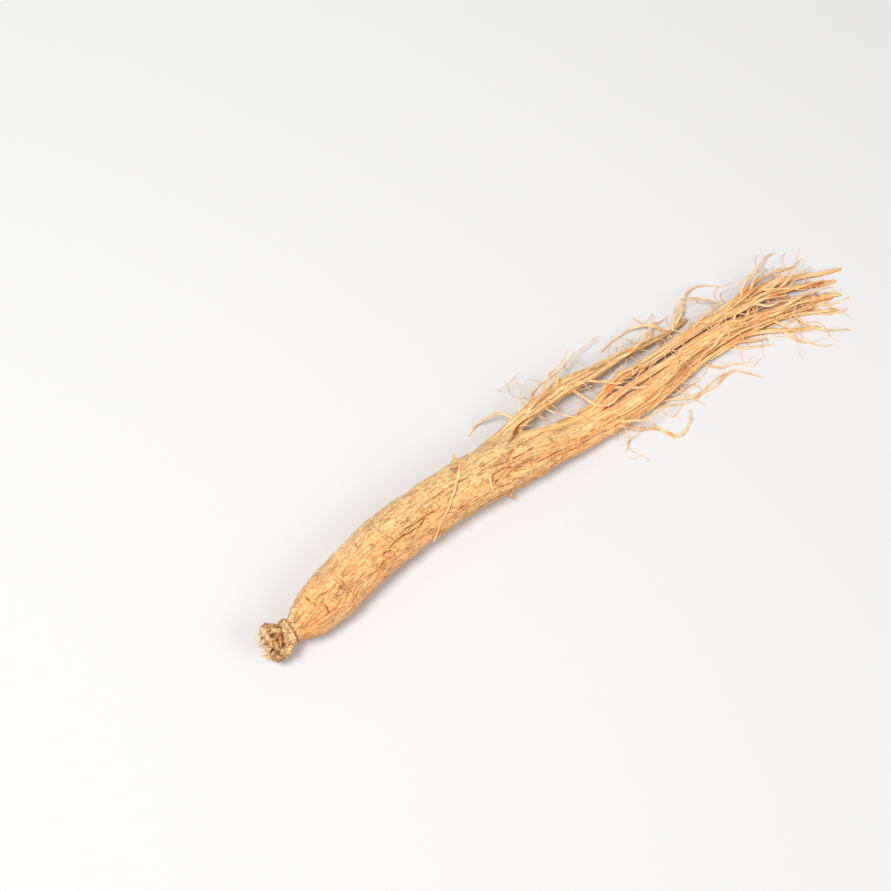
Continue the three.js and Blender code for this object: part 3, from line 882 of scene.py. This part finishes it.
def woody_material(name, pale, brown, dark):
    """The woody stub: tan flakes, paler and darker as painted light and shade, and brown pits between them.
    """
    material, tree, shader = new_material(name)
    grain_at = attribute(tree, "grain", "Vector")
    aslant_grain = add_node(tree, "ShaderNodeMapping", {}, {
        "Vector": grain_at, "Rotation": (0.0, 0.5, 0.6)}).outputs["Vector"]
    fibres = fractal(tree, stretched(tree, grain_at, (0.35, 1, 1)), 1.9, 4.0, 0.65)
    flecks = maths(tree, "SUBTRACT", fractal(tree, grain_at, 1.1, 4.0, 0.7), 0.5)
    fine_flakes = fractal(tree, stretched(tree, aslant_grain, (0.3, 1, 1)), 1.5, 2.0, 0.6)
    cracks = thin_lines(tree, stretched(tree, grain_at, (0.5, 1, 1)), 0.7, 0.03, 2.0)
    base = layered(tree, pale, (
        (ramp(tree, maths(tree, "ADD", attribute(tree, "warmth"), flecks), 0.2, 0.95), brown),
        (ramp(tree, fibres, 0.48, 0.7, 0.0, 0.5), brown),
        # the flakes darker in their hollows and paler on their ridges: partly their own tone, partly painted
        # shade and highlight
        (ramp(tree, fine_flakes, 0.53, 0.64, 0.0, 0.6), dark),
        (ramp(tree, fine_flakes, 0.48, 0.36, 0.0, 0.75), colour(255, 230, 184)),
        (times(tree, cracks, 0.3), dark),
        (ramp(tree, attribute(tree, "crease"), 0.14, 0.8, 0.0, 0.88), dark),
        # a painted highlight along the knob's rim
        (times(tree, attribute(tree, "rim"), 0.75), colour(255, 228, 182)),
    ))
    tree.links.new(ramp(tree, fibres, 0.3, 0.7, 0.7, 0.92), shader.inputs["Roughness"])
    height = maths(tree, "ADD", times(tree, cracks, -0.8), fibres)
    height = maths(tree, "SUBTRACT", height, times(tree, fine_flakes, 1.2))
    dress(tree, shader, base, height, 0.0003, 1.0, 0.15)
    return material


root_head.data.materials.append(woody_material(
    "woody_stub", pale=colour(240, 190, 132), brown=colour(214, 146, 88), dark=colour(104, 56, 24)))
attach(root_head, "root")
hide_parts("ginseng_root")


# Torn fibres stand out round the broken face of the knob, where the stem was snapped off. Each is a
# pale splinter of stem, and they are placed on the torn end of the head by a rule with a fixed seed.
def new_tree(name, source, sizes, result):
    """A geometry tree that takes a source and named sizes, each with its kind and its value."""
    tree = bpy.data.node_groups.new(name, "GeometryNodeTree")
    tree.interface.new_socket(source, in_out="INPUT", socket_type="NodeSocketGeometry")
    for label, (kind, value) in sizes.items():
        socket = tree.interface.new_socket(label, in_out="INPUT", socket_type="NodeSocket" + kind)
        socket.default_value = value
    tree.interface.new_socket(result, in_out="OUTPUT", socket_type="NodeSocketGeometry")
    return tree, tree.nodes.new("NodeGroupInput").outputs


def end_tree(tree, grown, material):
    """Makes what has grown real, gives it its material and hands it out."""
    real = add_node(tree, "GeometryNodeRealizeInstances", {}, {"Geometry": grown})
    dyed = add_node(tree, "GeometryNodeSetMaterial", {}, {"Geometry": real.outputs[0], "Material": material})
    add_node(tree, "NodeGroupOutput", {}, {0: dyed.outputs[0]})
    return tree


def fibre_tree(name, material):
    """Curved splinters that stand on the torn end of the head and lean along the stem."""
    tree, given = new_tree(name, "Head", {
        "Fibres per square metre": ("Float", 420000.0),
        "Shortest": ("Float", 0.0014),
        "Longest": ("Float", 0.0034),
        "Way along the stem": ("Float", 0.72),
        "Seed": ("Int", 7),
    }, "Fibres")
    torn_share = add_node(tree, "GeometryNodeInputNamedAttribute", {"data_type": "FLOAT"}, {"Name": "torn"})
    spots = add_node(tree, "GeometryNodeDistributePointsOnFaces", {}, {
        "Mesh": given["Head"], "Seed": given["Seed"],
        "Density": times(tree, torn_share.outputs[0], given["Fibres per square metre"])})
    bow = add_node(tree, "GeometryNodeCurveQuadraticBezier", {}, {
        "Resolution": 6, "Start": (0, 0, -0.2), "Middle": (0.06, 0, 0.5), "End": (0.26, 0.08, 1.0)})
    taper = add_node(tree, "GeometryNodeSplineParameter", {}, {}).outputs["Factor"]
    section = add_node(tree, "GeometryNodeCurvePrimitiveCircle", {}, {"Resolution": 5, "Radius": 0.13})
    fibre = add_node(tree, "GeometryNodeCurveToMesh", {}, {
        "Curve": bow.outputs[0], "Profile Curve": section.outputs[0],
        "Scale": ramp(tree, taper, 0.0, 1.0, 1.0, 0.3), "Fill Caps": True})
    stem_way = add_node(tree, "ShaderNodeMix", {"data_type": "VECTOR"}, {
        0: given["Way along the stem"], 4: spots.outputs["Normal"], 5: (-1.0, 0.1, -0.1)})
    upright = add_node(tree, "FunctionNodeAlignRotationToVector", {"axis": "Z"}, {
        "Vector": stem_way.outputs[1]})
    tilt = add_node(tree, "FunctionNodeRandomValue", {"data_type": "FLOAT_VECTOR"}, {
        0: (-0.55, -0.55, -3.14), 1: (0.55, 0.55, 3.14), "Seed": given["Seed"]})
    turned = add_node(tree, "FunctionNodeRotateRotation", {"rotation_space": "LOCAL"}, {
        "Rotation": upright.outputs[0], "Rotate By": tilt.outputs[0]})
    length = add_node(tree, "FunctionNodeRandomValue", {"data_type": "FLOAT"}, {
        2: given["Shortest"], 3: given["Longest"], "Seed": given["Seed"]})
    stand = add_node(tree, "GeometryNodeInstanceOnPoints", {}, {
        "Points": spots.outputs["Points"], "Instance": fibre.outputs[0],
        "Rotation": turned.outputs[0], "Scale": length.outputs[1]})
    return end_tree(tree, stand.outputs[0], material)


def grown_by(tree, source, name, values):
    """The mesh that a geometry tree makes from a source object, as a plain object."""
    modifier = source.modifiers.new("grow", "NODES")
    modifier.node_group = tree
    for item in tree.interface.items_tree:
        if item.item_type == "SOCKET" and item.in_out == "INPUT" and item.name in values:
            modifier[item.identifier] = values[item.name]
    evaluated = source.evaluated_get(bpy.context.evaluated_depsgraph_get())
    mesh = bpy.data.meshes.new_from_object(evaluated)
    mesh.name = name
    source.modifiers.remove(modifier)
    shade_smooth(mesh)
    return placed(name, mesh)


def fibre_material(name, pale, brown):
    """Pale fibre, browner here and there."""
    material, tree, shader = new_material(name)
    here = add_node(tree, "ShaderNodeTexCoord", {}, {}).outputs["Object"]
    streaks = fractal(tree, here, 1900.0, 2.0, 0.6)
    base = layered(tree, pale, (
        (ramp(tree, fractal(tree, here, 260.0, 3.0, 0.6), 0.38, 0.68), brown),
        (ramp(tree, streaks, 0.5, 0.8, 0.0, 0.4), brown),
    ))
    shader.inputs["Roughness"].default_value = 0.75
    dress(tree, shader, base, streaks, 0.0001, 0.6, 0.2)
    return material


torn_fibre = fibre_material("torn_fibre", pale=colour(255, 234, 196), brown=colour(222, 172, 116))
torn_fibres = grown_by(fibre_tree("torn fibres", torn_fibre), root_head, "torn_fibres", {})
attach(torn_fibres, "root")
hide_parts("ginseng_root")


# Strands: below the fork the root frays into long strands that lie along the legs and end in thin
# tips. They are part of the same growth, fibrous and grooved lengthwise. Each is a tube with grooves
# round its own middle line, and thinner ones by rule lie half sunk in the thick ones.
main_strands = {
    "top_strand": [
        (97, 9.4, 15.8, 1.7), (107, 9.2, 13.8, 1.9), (117, 7.6, 11.7, 1.7), (127, 5.7, 10.1, 1.5),
        (135, 5.6, 8.9, 1.4), (143, 7.6, 8.0, 1.3), (152, 8.8, 7.0, 1.3), (162, 8.2, 6.3, 1.4),
        (174, 8.3, 5.6, 1.5), (186, 8.3, 5.0, 1.7), (197, 8.4, 4.3, 1.9), (207, 8.5, 3.6, 2.0),
        (216, 8.8, 3.0, 1.8), (225, 7.4, 2.4, 1.6), (234, 4.4, 1.8, 1.2), (243, 0.6, 1.3, 0.9),
        (252, -2.4, 0.8, 0.5),
    ],
    "top_branch": [
        (172, 9.2, 6.6, 1.0), (184, 9.0, 6.0, 1.4), (196, 7.6, 5.4, 1.5), (207, 6.4, 4.4, 1.7),
        (218, 5.0, 3.4, 1.7), (229, 2.1, 2.4, 1.4), (238, -1.8, 1.6, 1.0), (247, -5.1, 1.0, 0.6),
    ],
    "middle_branch": [
        (182, 4.4, 5.6, 1.1), (196, 3.1, 4.6, 1.5), (205, 1.2, 3.8, 1.7), (216, -1.2, 2.9, 1.7),
        (227, -3.3, 2.0, 1.4), (237, -6.6, 1.4, 0.9), (245, -10.4, 1.0, 0.6),
    ],
    "upper_strand": [
        (126, 3.0, 10.4, 1.5), (142, 4.4, 9.2, 1.3), (161, 4.8, 7.4, 1.4), (180, 4.4, 6.0, 1.4),
        (199, 3.8, 4.2, 1.4), (212, -0.6, 2.9, 1.1), (226, -7.6, 1.7, 0.8), (240, -14.5, 1.0, 0.5),
    ],
    "lower_strand": [
        (146, -2.6, 4.4, 2.0), (160, -3.4, 3.8, 1.6), (175, -2.8, 3.2, 1.5), (188, -1.6, 2.7, 1.4),
        (199, -1.8, 2.3, 1.3), (209, -5.0, 1.8, 1.1), (219, -10.6, 1.3, 0.8), (230, -16.0, 0.9, 0.5),
    ],
}
STRAND_SIDES = 28
THIN_STRAND_SIDES = 14
THIN_STRAND_COUNT = 20
THIN_STRAND_RADIUS = 0.75
GROOVE_DEPTH = 0.16  # as a share of the strand's radius
SKIN_SHIFT = 37.0  # from each strand's place in the pattern of the skin to the next one's
BUNDLE_SHADE_CELL = 1.6  # the size of the squares in which the highest strand is found
strand_stations = [np.array(rows) for rows in main_strands.values()]


def strand_relief(number):
    """Lengthwise grooves that twist slowly round a strand, and slow swells."""
    def relief(along, around, radius):
        turned = around + 0.02 * along + 0.5 * np.sin(along / 17 + number)
        lobes = np.cos(3 * turned + number) * 0.45 + np.cos(5 * turned + 2 * number) * 0.35
        grooves = -np.abs(np.sin(4.5 * turned + 0.8 * np.sin(along / 9 + number)))
        swells = unevenness(along / 6, around % (2 * math.pi), 6)
        return GROOVE_DEPTH * radius * (lobes + 0.7 * grooves + 0.6 * swells)
    return relief


def distance_along(line):
    """How far each row of a middle line is from its start."""
    return np.concatenate([[0], np.cumsum(np.linalg.norm(np.diff(line[:, :3], axis=0), axis=1))])


def strand(line, sides, number):
    """Skin, faces, laid out skin of one strand, and its creases: partly brown skin, partly painted shade."""
    relief = strand_relief(number)
    points, faces = tube(line, sides, relief)
    inner = line[1:-1]
    reach = np.repeat(inner[:, 3:4], sides, axis=1)
    around = (np.arange(sides) / sides * 2 * math.pi)[None] + 0 * reach
    depth = relief(inner[:, :1] + 0 * reach, around, reach) / reach
    crease = np.clip(-4.2 * depth - 0.42, 0, 1).ravel()
    offset = SKIN_SHIFT * number
    distance = distance_along(line)[1:-1, None] + offset + 0 * reach
    grain = (unrolled(distance, around, 0.5 * reach + 0.8) + (0, offset, 0)).reshape(-1, 3)
    return points, faces, np.vstack([grain[:1], grain, grain[-1:]]), np.concatenate([[0], crease, [0]])


def thin_strand_line(host, start, end, turn, draw):
    """A thin strand half sunk in its host, which it leaves near its own end."""
    count = 14
    rows = []
    sway = 2 * math.pi * next(draw)
    drift = 1.2 * (next(draw) - 0.5)
    girth = THIN_STRAND_RADIUS * (0.65 + 0.7 * next(draw))
    for i in range(count):
        share = i / (count - 1)
        middle, radius, _, out = spot_on(host, start + (end - start) * share, turn + drift * share)
        own = girth * min(1.0, 0.5 + 2 * share) * (1 - 0.65 * share ** 2)
        off = radius * (0.92 + 0.1 * math.sin(sway + 5 * share)) + 0.35 * own + 2.5 * share ** 3
        place = middle + out * off
        place[1] += 0.8 * math.sin(sway + 7 * share) * share
        place[2] = max(place[2], own + REST_HEIGHT)
        rows.append([*place, own])
    return smooth_line(np.array(rows), 6)


strands = [
    strand(smooth_line(rows, 10), STRAND_SIDES, i) for i, rows in enumerate(strand_stations)]
draw = seeded_random(RANDOM_SEED + 2)
strand_hosts = [trunk_stations, trunk_stations] + strand_stations
for i in range(THIN_STRAND_COUNT):
    host = strand_hosts[i % len(strand_hosts)]
    on_trunk = host is trunk_stations
    start = 0.66 + 0.14 * next(draw) if on_trunk else 0.1 + 0.35 * next(draw)
    end = min(0.97, start + 0.3 + 0.2 * next(draw))
    turn = math.pi * ((0.75 + 0.5 * next(draw)) if on_trunk else (0.1 + 0.8 * next(draw)))
    strands.append(strand(thin_strand_line(host, start, end, turn, draw), THIN_STRAND_SIDES, i + 10))
points, faces = joined([(s[0], s[1]) for s in strands])
points[:, 2] = np.maximum(points[:, 2], REST_HEIGHT)
root_strands = as_object("root_strands", points, faces)
set_grains(root_strands.data, np.vstack([s[2] for s in strands]))
# What lies deep in the bundle, under the strands above it, is painted browner and warmer: painted shade.
cells, cell_of = np.unique(np.floor(points[:, :2] / BUNDLE_SHADE_CELL), axis=0, return_inverse=True)
highest = np.zeros(len(cells))
np.maximum.at(highest, cell_of.ravel(), points[:, 2])
painted_bundle_shade = np.clip((highest[cell_of.ravel()] - points[:, 2]) / 3 - 0.25, 0, 1) * (points[:, 2] > 1)
strand_creases = np.concatenate([s[3] for s in strands])
set_attributes(
    root_strands.data,
    crease=np.clip(strand_creases + 0.9 * painted_bundle_shade, 0, 1),
    dashed=np.full(len(points), 0.15),
    warmth=np.clip(0.42 + 0.9 * noise(points / (16, 4, 4), 31) + 0.5 * painted_bundle_shade, 0, 1),
)
shade_smooth(root_strands.data)
root_strands.data.materials.append(skin_material(
    "fibrous_skin", pale=colour(255, 213, 148), warm=colour(246, 162, 90), grey=colour(252, 210, 150),
    dark=colour(138, 66, 24), line_depth=0.8, bump=0.00018))
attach(root_strands, "root")
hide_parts("ginseng_root")


# Rootlets part from the legs one by one and wander off along the surface. They are thin round roots
# of the same growth, dried to bent threads. Each is a line of points in a plain mesh, thinner to its
# tip, and a geometry tree sweeps a round section along all of them.
ROOTLET_COUNT = 32
ROOTLET_LENGTH = 38
ROOTLET_RADIUS = 0.55
ROOTLET_TIP_RADIUS = 0.4
ROOTLET_KINKS = 0.5
lone_rootlets = {
    "long_on_the_surface": [
        (148, -5, 4), (160, -5.4, 2.4), (171, -10, 1), (182, -11.8, 0.6), (190, -10.8, 0.6),
        (194, -14, 0.6), (199, -19, 0.6),
    ],
    "hooked": [
        (141, -4, 4.5), (147, -9.5, 2), (154, -13, 0.6), (158, -19, 0.6), (164, -18.6, 0.6),
        (168, -14, 0.6),
    ],
    "across_the_fork": [
        (133, 17, 7.5), (134.6, 11.5, 9.8), (135.2, 6.4, 11.5), (138, 3.4, 11.9), (141.5, 2.9, 11.6),
        (145.4, 3.4, 11.2), (150, 4.0, 10.4), (155, 4.2, 9.8), (160, 4.8, 8.9), (164, 5.2, 8.2),
    ],
    "over_the_trunk": [
        (80, 13.4, 16.6), (77.5, 11.4, 18.9), (75, 9.4, 19.6), (71, 6.2, 19.7), (67.2, 3.6, 18.9),
        (63.6, 1.3, 17.2), (60.4, -0.6, 14.9), (57.6, -2.4, 12.2),
    ],
    "broken_on_the_trunk": [
        (86.2, 5.6, 18.9), (85.6, 3.6, 18.9), (85.0, 2.0, 18.2), (84.5, -0.6, 16.0),
    ],
    "side_leg_first": [
        (181, 14.3, 3.2), (188, 17.5, 3.8), (193, 22, 3), (200, 22.5, 1.5), (207, 18.5, 0.6),
    ],
    "side_leg_second": [
        (177, 14.6, 3.8), (175, 19, 4.4), (169, 22.4, 3.6), (161, 23.4, 1.6), (154, 22.2, 0.6),
    ],
    "beside_the_fork": [
        (108, 18, 11), (106, 22, 10), (102, 24.4, 6), (98, 24.8, 1.4), (94, 23.6, 0.6),
    ],
}


def rootlet_thickness(share):
    return ROOTLET_RADIUS + (ROOTLET_TIP_RADIUS - ROOTLET_RADIUS) * share


def rootlet_line(spot, length, draw):
    """A rootlet leaves its leg sideways, turns to run with it, wanders and sinks to the surface."""
    middle, radius, along, out = spot
    point_count = 8
    step = length / (point_count - 1)
    place = middle + 0.35 * radius * out
    heading = unit(0.8 * out + 0.7 * along)
    swing = 0.28 * (next(draw) - 0.5)
    phase = 2 * math.pi * next(draw)
    rows = []
    for i in range(point_count):
        thickness = rootlet_thickness(i / (point_count - 1))
        place[2] = max(place[2], 0.9 * thickness)
        rows.append([*place, thickness])
        place = place + heading * (0.65 * radius + step if i == 0 else step)
        heading = heading + 0.35 * along
        heading[1] += swing + 0.35 * math.sin(phase + 1.7 * i)
        heading[2] -= 0.22 if place[2] > 2 else 0.6 * heading[2]
        heading = unit(heading)
    return np.array(rows)


def thread_tree(name, material):
    """Sweeps a round section along every line of edges, as thick as its points say."""
    tree, given = new_tree(name, "Lines", {
        "Sides": ("Int", 6), "Thickness times": ("Float", 1.0)}, "Threads")
    curves = add_node(tree, "GeometryNodeMeshToCurve", {}, {"Mesh": given["Lines"]})
    thickness = add_node(tree, "GeometryNodeInputNamedAttribute", {"data_type": "FLOAT"}, {
        "Name": "thickness"})
    section = add_node(tree, "GeometryNodeCurvePrimitiveCircle", {}, {
        "Resolution": given["Sides"], "Radius": 1.0})
    swept = add_node(tree, "GeometryNodeCurveToMesh", {}, {
        "Curve": curves.outputs[0], "Profile Curve": section.outputs[0],
        "Scale": times(tree, thickness.outputs[0], given["Thickness times"]), "Fill Caps": True})
    return end_tree(tree, swept.outputs[0], material)


def threads(name, lines, sides, material):
    """Round threads along all the lines in one object, from a mesh of their edges."""
    edges, start = [], 0
    for line in lines:
        edges += [(start + i, start + i + 1) for i in range(len(line) - 1)]
        start += len(line)
    points = np.vstack(lines)
    mesh = bpy.data.meshes.new(name + "_paths")
    mesh.from_pydata(((points[:, :3] + NECK) * MM).tolist(), edges, [])
    set_attributes(mesh, thickness=points[:, 3] * MM)
    paths = placed(name + "_paths", mesh)
    swept = grown_by(thread_tree(name, material), paths, name, {"Sides": sides})
    bpy.data.objects.remove(paths)
    return swept


def wavering(line, size, draw):
    """The line with small kinks, as a thread has that shrank while it dried."""
    seed = int(1000 * next(draw))
    distance = distance_along(line)
    at = np.stack([distance / 4.5, 0 * distance + 0.37, 0 * distance + 0.11], axis=1)
    fade = np.minimum(1, distance / 3)[:, None]
    kinks = np.stack([noise(at, seed + axis) for axis in range(3)], axis=1) * (1, 1, 0.5)
    line = line.copy()
    line[:, :3] += size * fade * kinks
    line[:, 2] = np.maximum(line[:, 2], REST_HEIGHT + 1.02 * line[:, 3])
    return line


# The plain solid's rootlets follow the same draws, after 4 for each of its 11 coarse bristles.
BRISTLE_DRAWS = 11 * 4
draw = seeded_random(RANDOM_SEED + 1)
for _ in range(BRISTLE_DRAWS):
    next(draw)
rootlet_hosts = [trunk_stations, side_leg_stations] + strand_stations
rootlet_lines = []
for i in range(ROOTLET_COUNT):
    host = rootlet_hosts[i % len(rootlet_hosts)]
    share = 0.6 + 0.34 * next(draw) if host is trunk_stations else 0.25 + 0.6 * next(draw)
    spot = spot_on(host, share, 2 * math.pi * next(draw))
    length = ROOTLET_LENGTH * (0.5 + 0.5 * next(draw)) * (1.2 - 0.7 * share)
    rootlet_lines.append(rootlet_line(spot, length, draw))
for rows in lone_rootlets.values():
    shares = np.linspace(0, 1, len(rows))
    rootlet_lines.append(np.column_stack([np.array(rows, float), 1.1 * rootlet_thickness(shares)]))
draw = seeded_random(RANDOM_SEED + 3)
rootlet_lines = [wavering(smooth_line(line, 6), ROOTLET_KINKS, draw) for line in rootlet_lines]
for line in rootlet_lines:
    line[:, 3] *= np.linspace(1.0, 0.5, len(line))
rootlet_skin = fibre_material("rootlet_skin", pale=colour(255, 222, 170), brown=colour(232, 168, 108))
rootlets = threads("rootlets", rootlet_lines, sides=8, material=rootlet_skin)
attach(rootlets, "root")
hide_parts("ginseng_root")


# Hairs: the finest rootlets, as thin as thread, that curl along and between the legs. They dried
# with the root and break off easily. They grow from the same legs by rule with a fixed seed.
HAIR_COUNT = 190
HAIR_LENGTH = 24
HAIR_RADIUS = 0.2
KNOWN_HAIR_RADIUS = 1.35 * HAIR_RADIUS
HAIR_KINKS = 0.4
KNOWN_HAIR_KINKS = 0.25
# Hairs at known places: x, y, z of points along them.
known_hairs = {
    "loop_at_the_fork": [(111.1, 18.5, 11.6), (112.3, 20, 12), (113.9, 20.3, 12), (116, 18.8, 11.6)],
    "fine_fork": [
        (120, 14.8, 11), (121.3, 12.1, 11), (123, 9.6, 12), (125.3, 7.2, 12.2), (127.1, 6, 12),
        (129.7, 7.9, 11.8), (131.4, 10.5, 12),
    ],
    "off_the_side_leg": [(126.9, 20.6, 9.6), (134.3, 23.8, 8), (143.8, 26.2, 6), (154.4, 27, 4)],
    "side_tip_long": [
        (180.2, 13.8, 4), (185.5, 19.2, 5), (189.5, 21.3, 5), (197.3, 18.1, 3), (202.1, 11.1, 5),
    ],
    "side_tip_back": [(180.2, 13.8, 4), (173.9, 19.3, 4), (171.3, 26.1, 2)],
    "side_tip_short": [(180.2, 13.8, 4), (182.9, 10.6, 5), (185.1, 8.7, 6.4)],
    "between_the_legs": [(121.3, 15, 6), (128.1, 15, 6), (134.9, 14.6, 5), (141.5, 12.9, 5)],
    "wavy": [
        (150.3, -5.4, 3), (156.6, -6.4, 3), (161.8, -8, 2), (166.2, -10.1, 1), (172.1, -11.7, 1),
        (176.2, -11.2, 1), (181.5, -10, 1), (187.5, -10.3, 1), (192.4, -12.1, 1), (196.1, -16, 1),
        (198.5, -19, 1),
    ],
    "hooked_hair": [
        (150.7, -5.5, 3), (153.3, -12.9, 2), (155, -16.4, 1), (156.8, -19, 1), (160.3, -19.9, 1),
        (164, -18.3, 1), (166.6, -16.8, 1), (167.9, -13.9, 1),
    ],
    "along_the_leg": [
        (136.8, 3.6, 10.6), (142.5, 3.9, 10), (147.4, 4.3, 9.8), (152.5, 4.5, 9.4), (158, 6.8, 9),
        (162.4, 7.6, 9),
    ],
    "curl": [(158.3, 6.6, 9), (161, 7.6, 9), (160.4, 9.8, 9), (157.6, 9.8, 9), (154.6, 7.2, 9)],
    "link_to_the_side_leg": [
        (141.6, 8, 9.6), (143.6, 10, 9.2), (147.1, 11, 8.8), (153, 12.3, 8.4), (155, 12.6, 8.2),
    ],
    "loop_on_the_strand": [
        (155, 7.6, 8.6), (156.1, 7.7, 8.8), (158.2, 8.3, 9.4), (159.8, 8.6, 9.6), (160.2, 7.7, 9.4),
        (159.4, 6.2, 9),
    ],
    "across_the_strands": [(188.1, 5.5, 8), (193.2, 5.3, 8), (197.7, 6.1, 8), (202.5, 6.3, 7)],
    "arc_over_the_strands": [
        (180.6, 13.6, 4), (184.3, 17.7, 6), (188.3, 19.3, 7), (192.9, 18.6, 6), (197.5, 16.1, 5),
        (200.5, 12.7, 5), (200.9, 9.1, 6),
    ],
    "broken_first": [(166, -3.0, 3.5), (168, -5.6, 2.6), (170.4, -9.2, 1.6), (173.8, -15.6, 1)],
    "broken_second": [(163, -3.5, 3.5), (166.3, -6.4, 2.2), (171, -6.2, 1.4), (178.2, -6.9, 1)],
    "broken_third": [(165, -2.6, 3.6), (169.5, -4.4, 2.2), (171.4, -9.4, 1.2)],
}


def hair_line(spot, length, radius, draw):
    """A hair leaves its leg, curls one way and then another, and comes to rest on the surface."""
    middle, girth, along, out = spot
    count = 14
    step = length / (count - 1)
    place = middle + 0.8 * girth * out
    heading = unit(0.7 * out + (1.4 * next(draw) - 0.3) * along)
    curl, phase = 0.25 + 0.5 * next(draw), 2 * math.pi * next(draw)
    rows = []
    for i in range(count):
        share = i / (count - 1)
        place[2] = max(place[2], radius + REST_HEIGHT)
        rows.append([*place, radius * (1 - 0.5 * share)])
        place = place + heading * (0.2 * girth + step if i == 0 else step)
        turn = curl * math.sin(phase + 0.55 * i)
        heading = np.array([
            heading[0] * math.cos(turn) - heading[1] * math.sin(turn),
            heading[0] * math.sin(turn) + heading[1] * math.cos(turn),
            heading[2] - (0.16 if place[2] > 1.5 else 0.7 * heading[2]),
        ])
        heading = unit(heading + 0.06 * along)
    return np.array(rows)


draw = seeded_random(RANDOM_SEED + 4)
hair_lines = []
for i in range(HAIR_COUNT):
    host = rootlet_hosts[i % len(rootlet_hosts)]
    share = 0.55 + 0.4 * next(draw) if host is trunk_stations else 0.15 + 0.75 * next(draw)
    spot = spot_on(host, share, 2 * math.pi * next(draw))
    length = HAIR_LENGTH * (0.25 + 0.75 * next(draw) ** 1.5)
    radius = HAIR_RADIUS * (0.6 + 0.7 * next(draw))
    curled = smooth_line(hair_line(spot, length, radius, draw), 2)
    hair_lines.append(wavering(curled, HAIR_KINKS, draw))
for rows in known_hairs.values():
    line = [[*row, KNOWN_HAIR_RADIUS * (1 - 0.4 * i / len(rows))] for i, row in enumerate(rows)]
    hair_lines.append(wavering(smooth_line(np.array(line), 6), KNOWN_HAIR_KINKS, draw))
hair_skin = fibre_material("hair_skin", pale=colour(255, 224, 176), brown=colour(228, 166, 108))
root_hairs = threads("root_hairs", hair_lines, sides=5, material=hair_skin)
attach(root_hairs, "root")
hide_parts("ginseng_root")


# A plain pale floor, and soft studio light: a large warm key from behind the root on its left, a
# weak fill from the front, and a pale sky.
FLOOR_REACH = 2  # metres to each side
corners = [(-1, -1), (1, -1), (1, 1), (-1, 1)]
floor_mesh = bpy.data.meshes.new("floor")
floor_mesh.from_pydata([(x * FLOOR_REACH, y * FLOOR_REACH, 0) for x, y in corners], [], [(0, 1, 2, 3)])
floor = placed("floor", floor_mesh)
floor_paint, _, floor_shader = new_material("pale_floor")
floor_shader.inputs["Base Color"].default_value = colour(216, 217, 219)
floor_shader.inputs["Roughness"].default_value = 0.9
floor_mesh.materials.append(floor_paint)


def add_light(name, place, width, power, tint):
    data = bpy.data.lights.new(name, "AREA")
    data.shape = "DISK"
    data.size = width
    data.energy = power
    data.color = tint
    light = placed(name, data)
    light.location = place
    light.rotation_euler = (-Vector(place)).to_track_quat("-Z", "Y").to_euler()


add_light("key", (-0.46, 0.12, 1.0), 0.35, 9.5, (1.0, 0.985, 0.96))
add_light("fill", (0.35, -0.7, 0.8), 0.8, 3.8, (1.0, 0.97, 0.93))
world = bpy.data.worlds.new("studio")
world.use_nodes = True
sky = world.node_tree.nodes["Background"]
sky.inputs["Color"].default_value = (1.0, 0.985, 0.965, 1)
sky.inputs["Strength"].default_value = 0.45
bpy.context.scene.world = world
bpy.context.scene.view_settings.view_transform = "Standard"
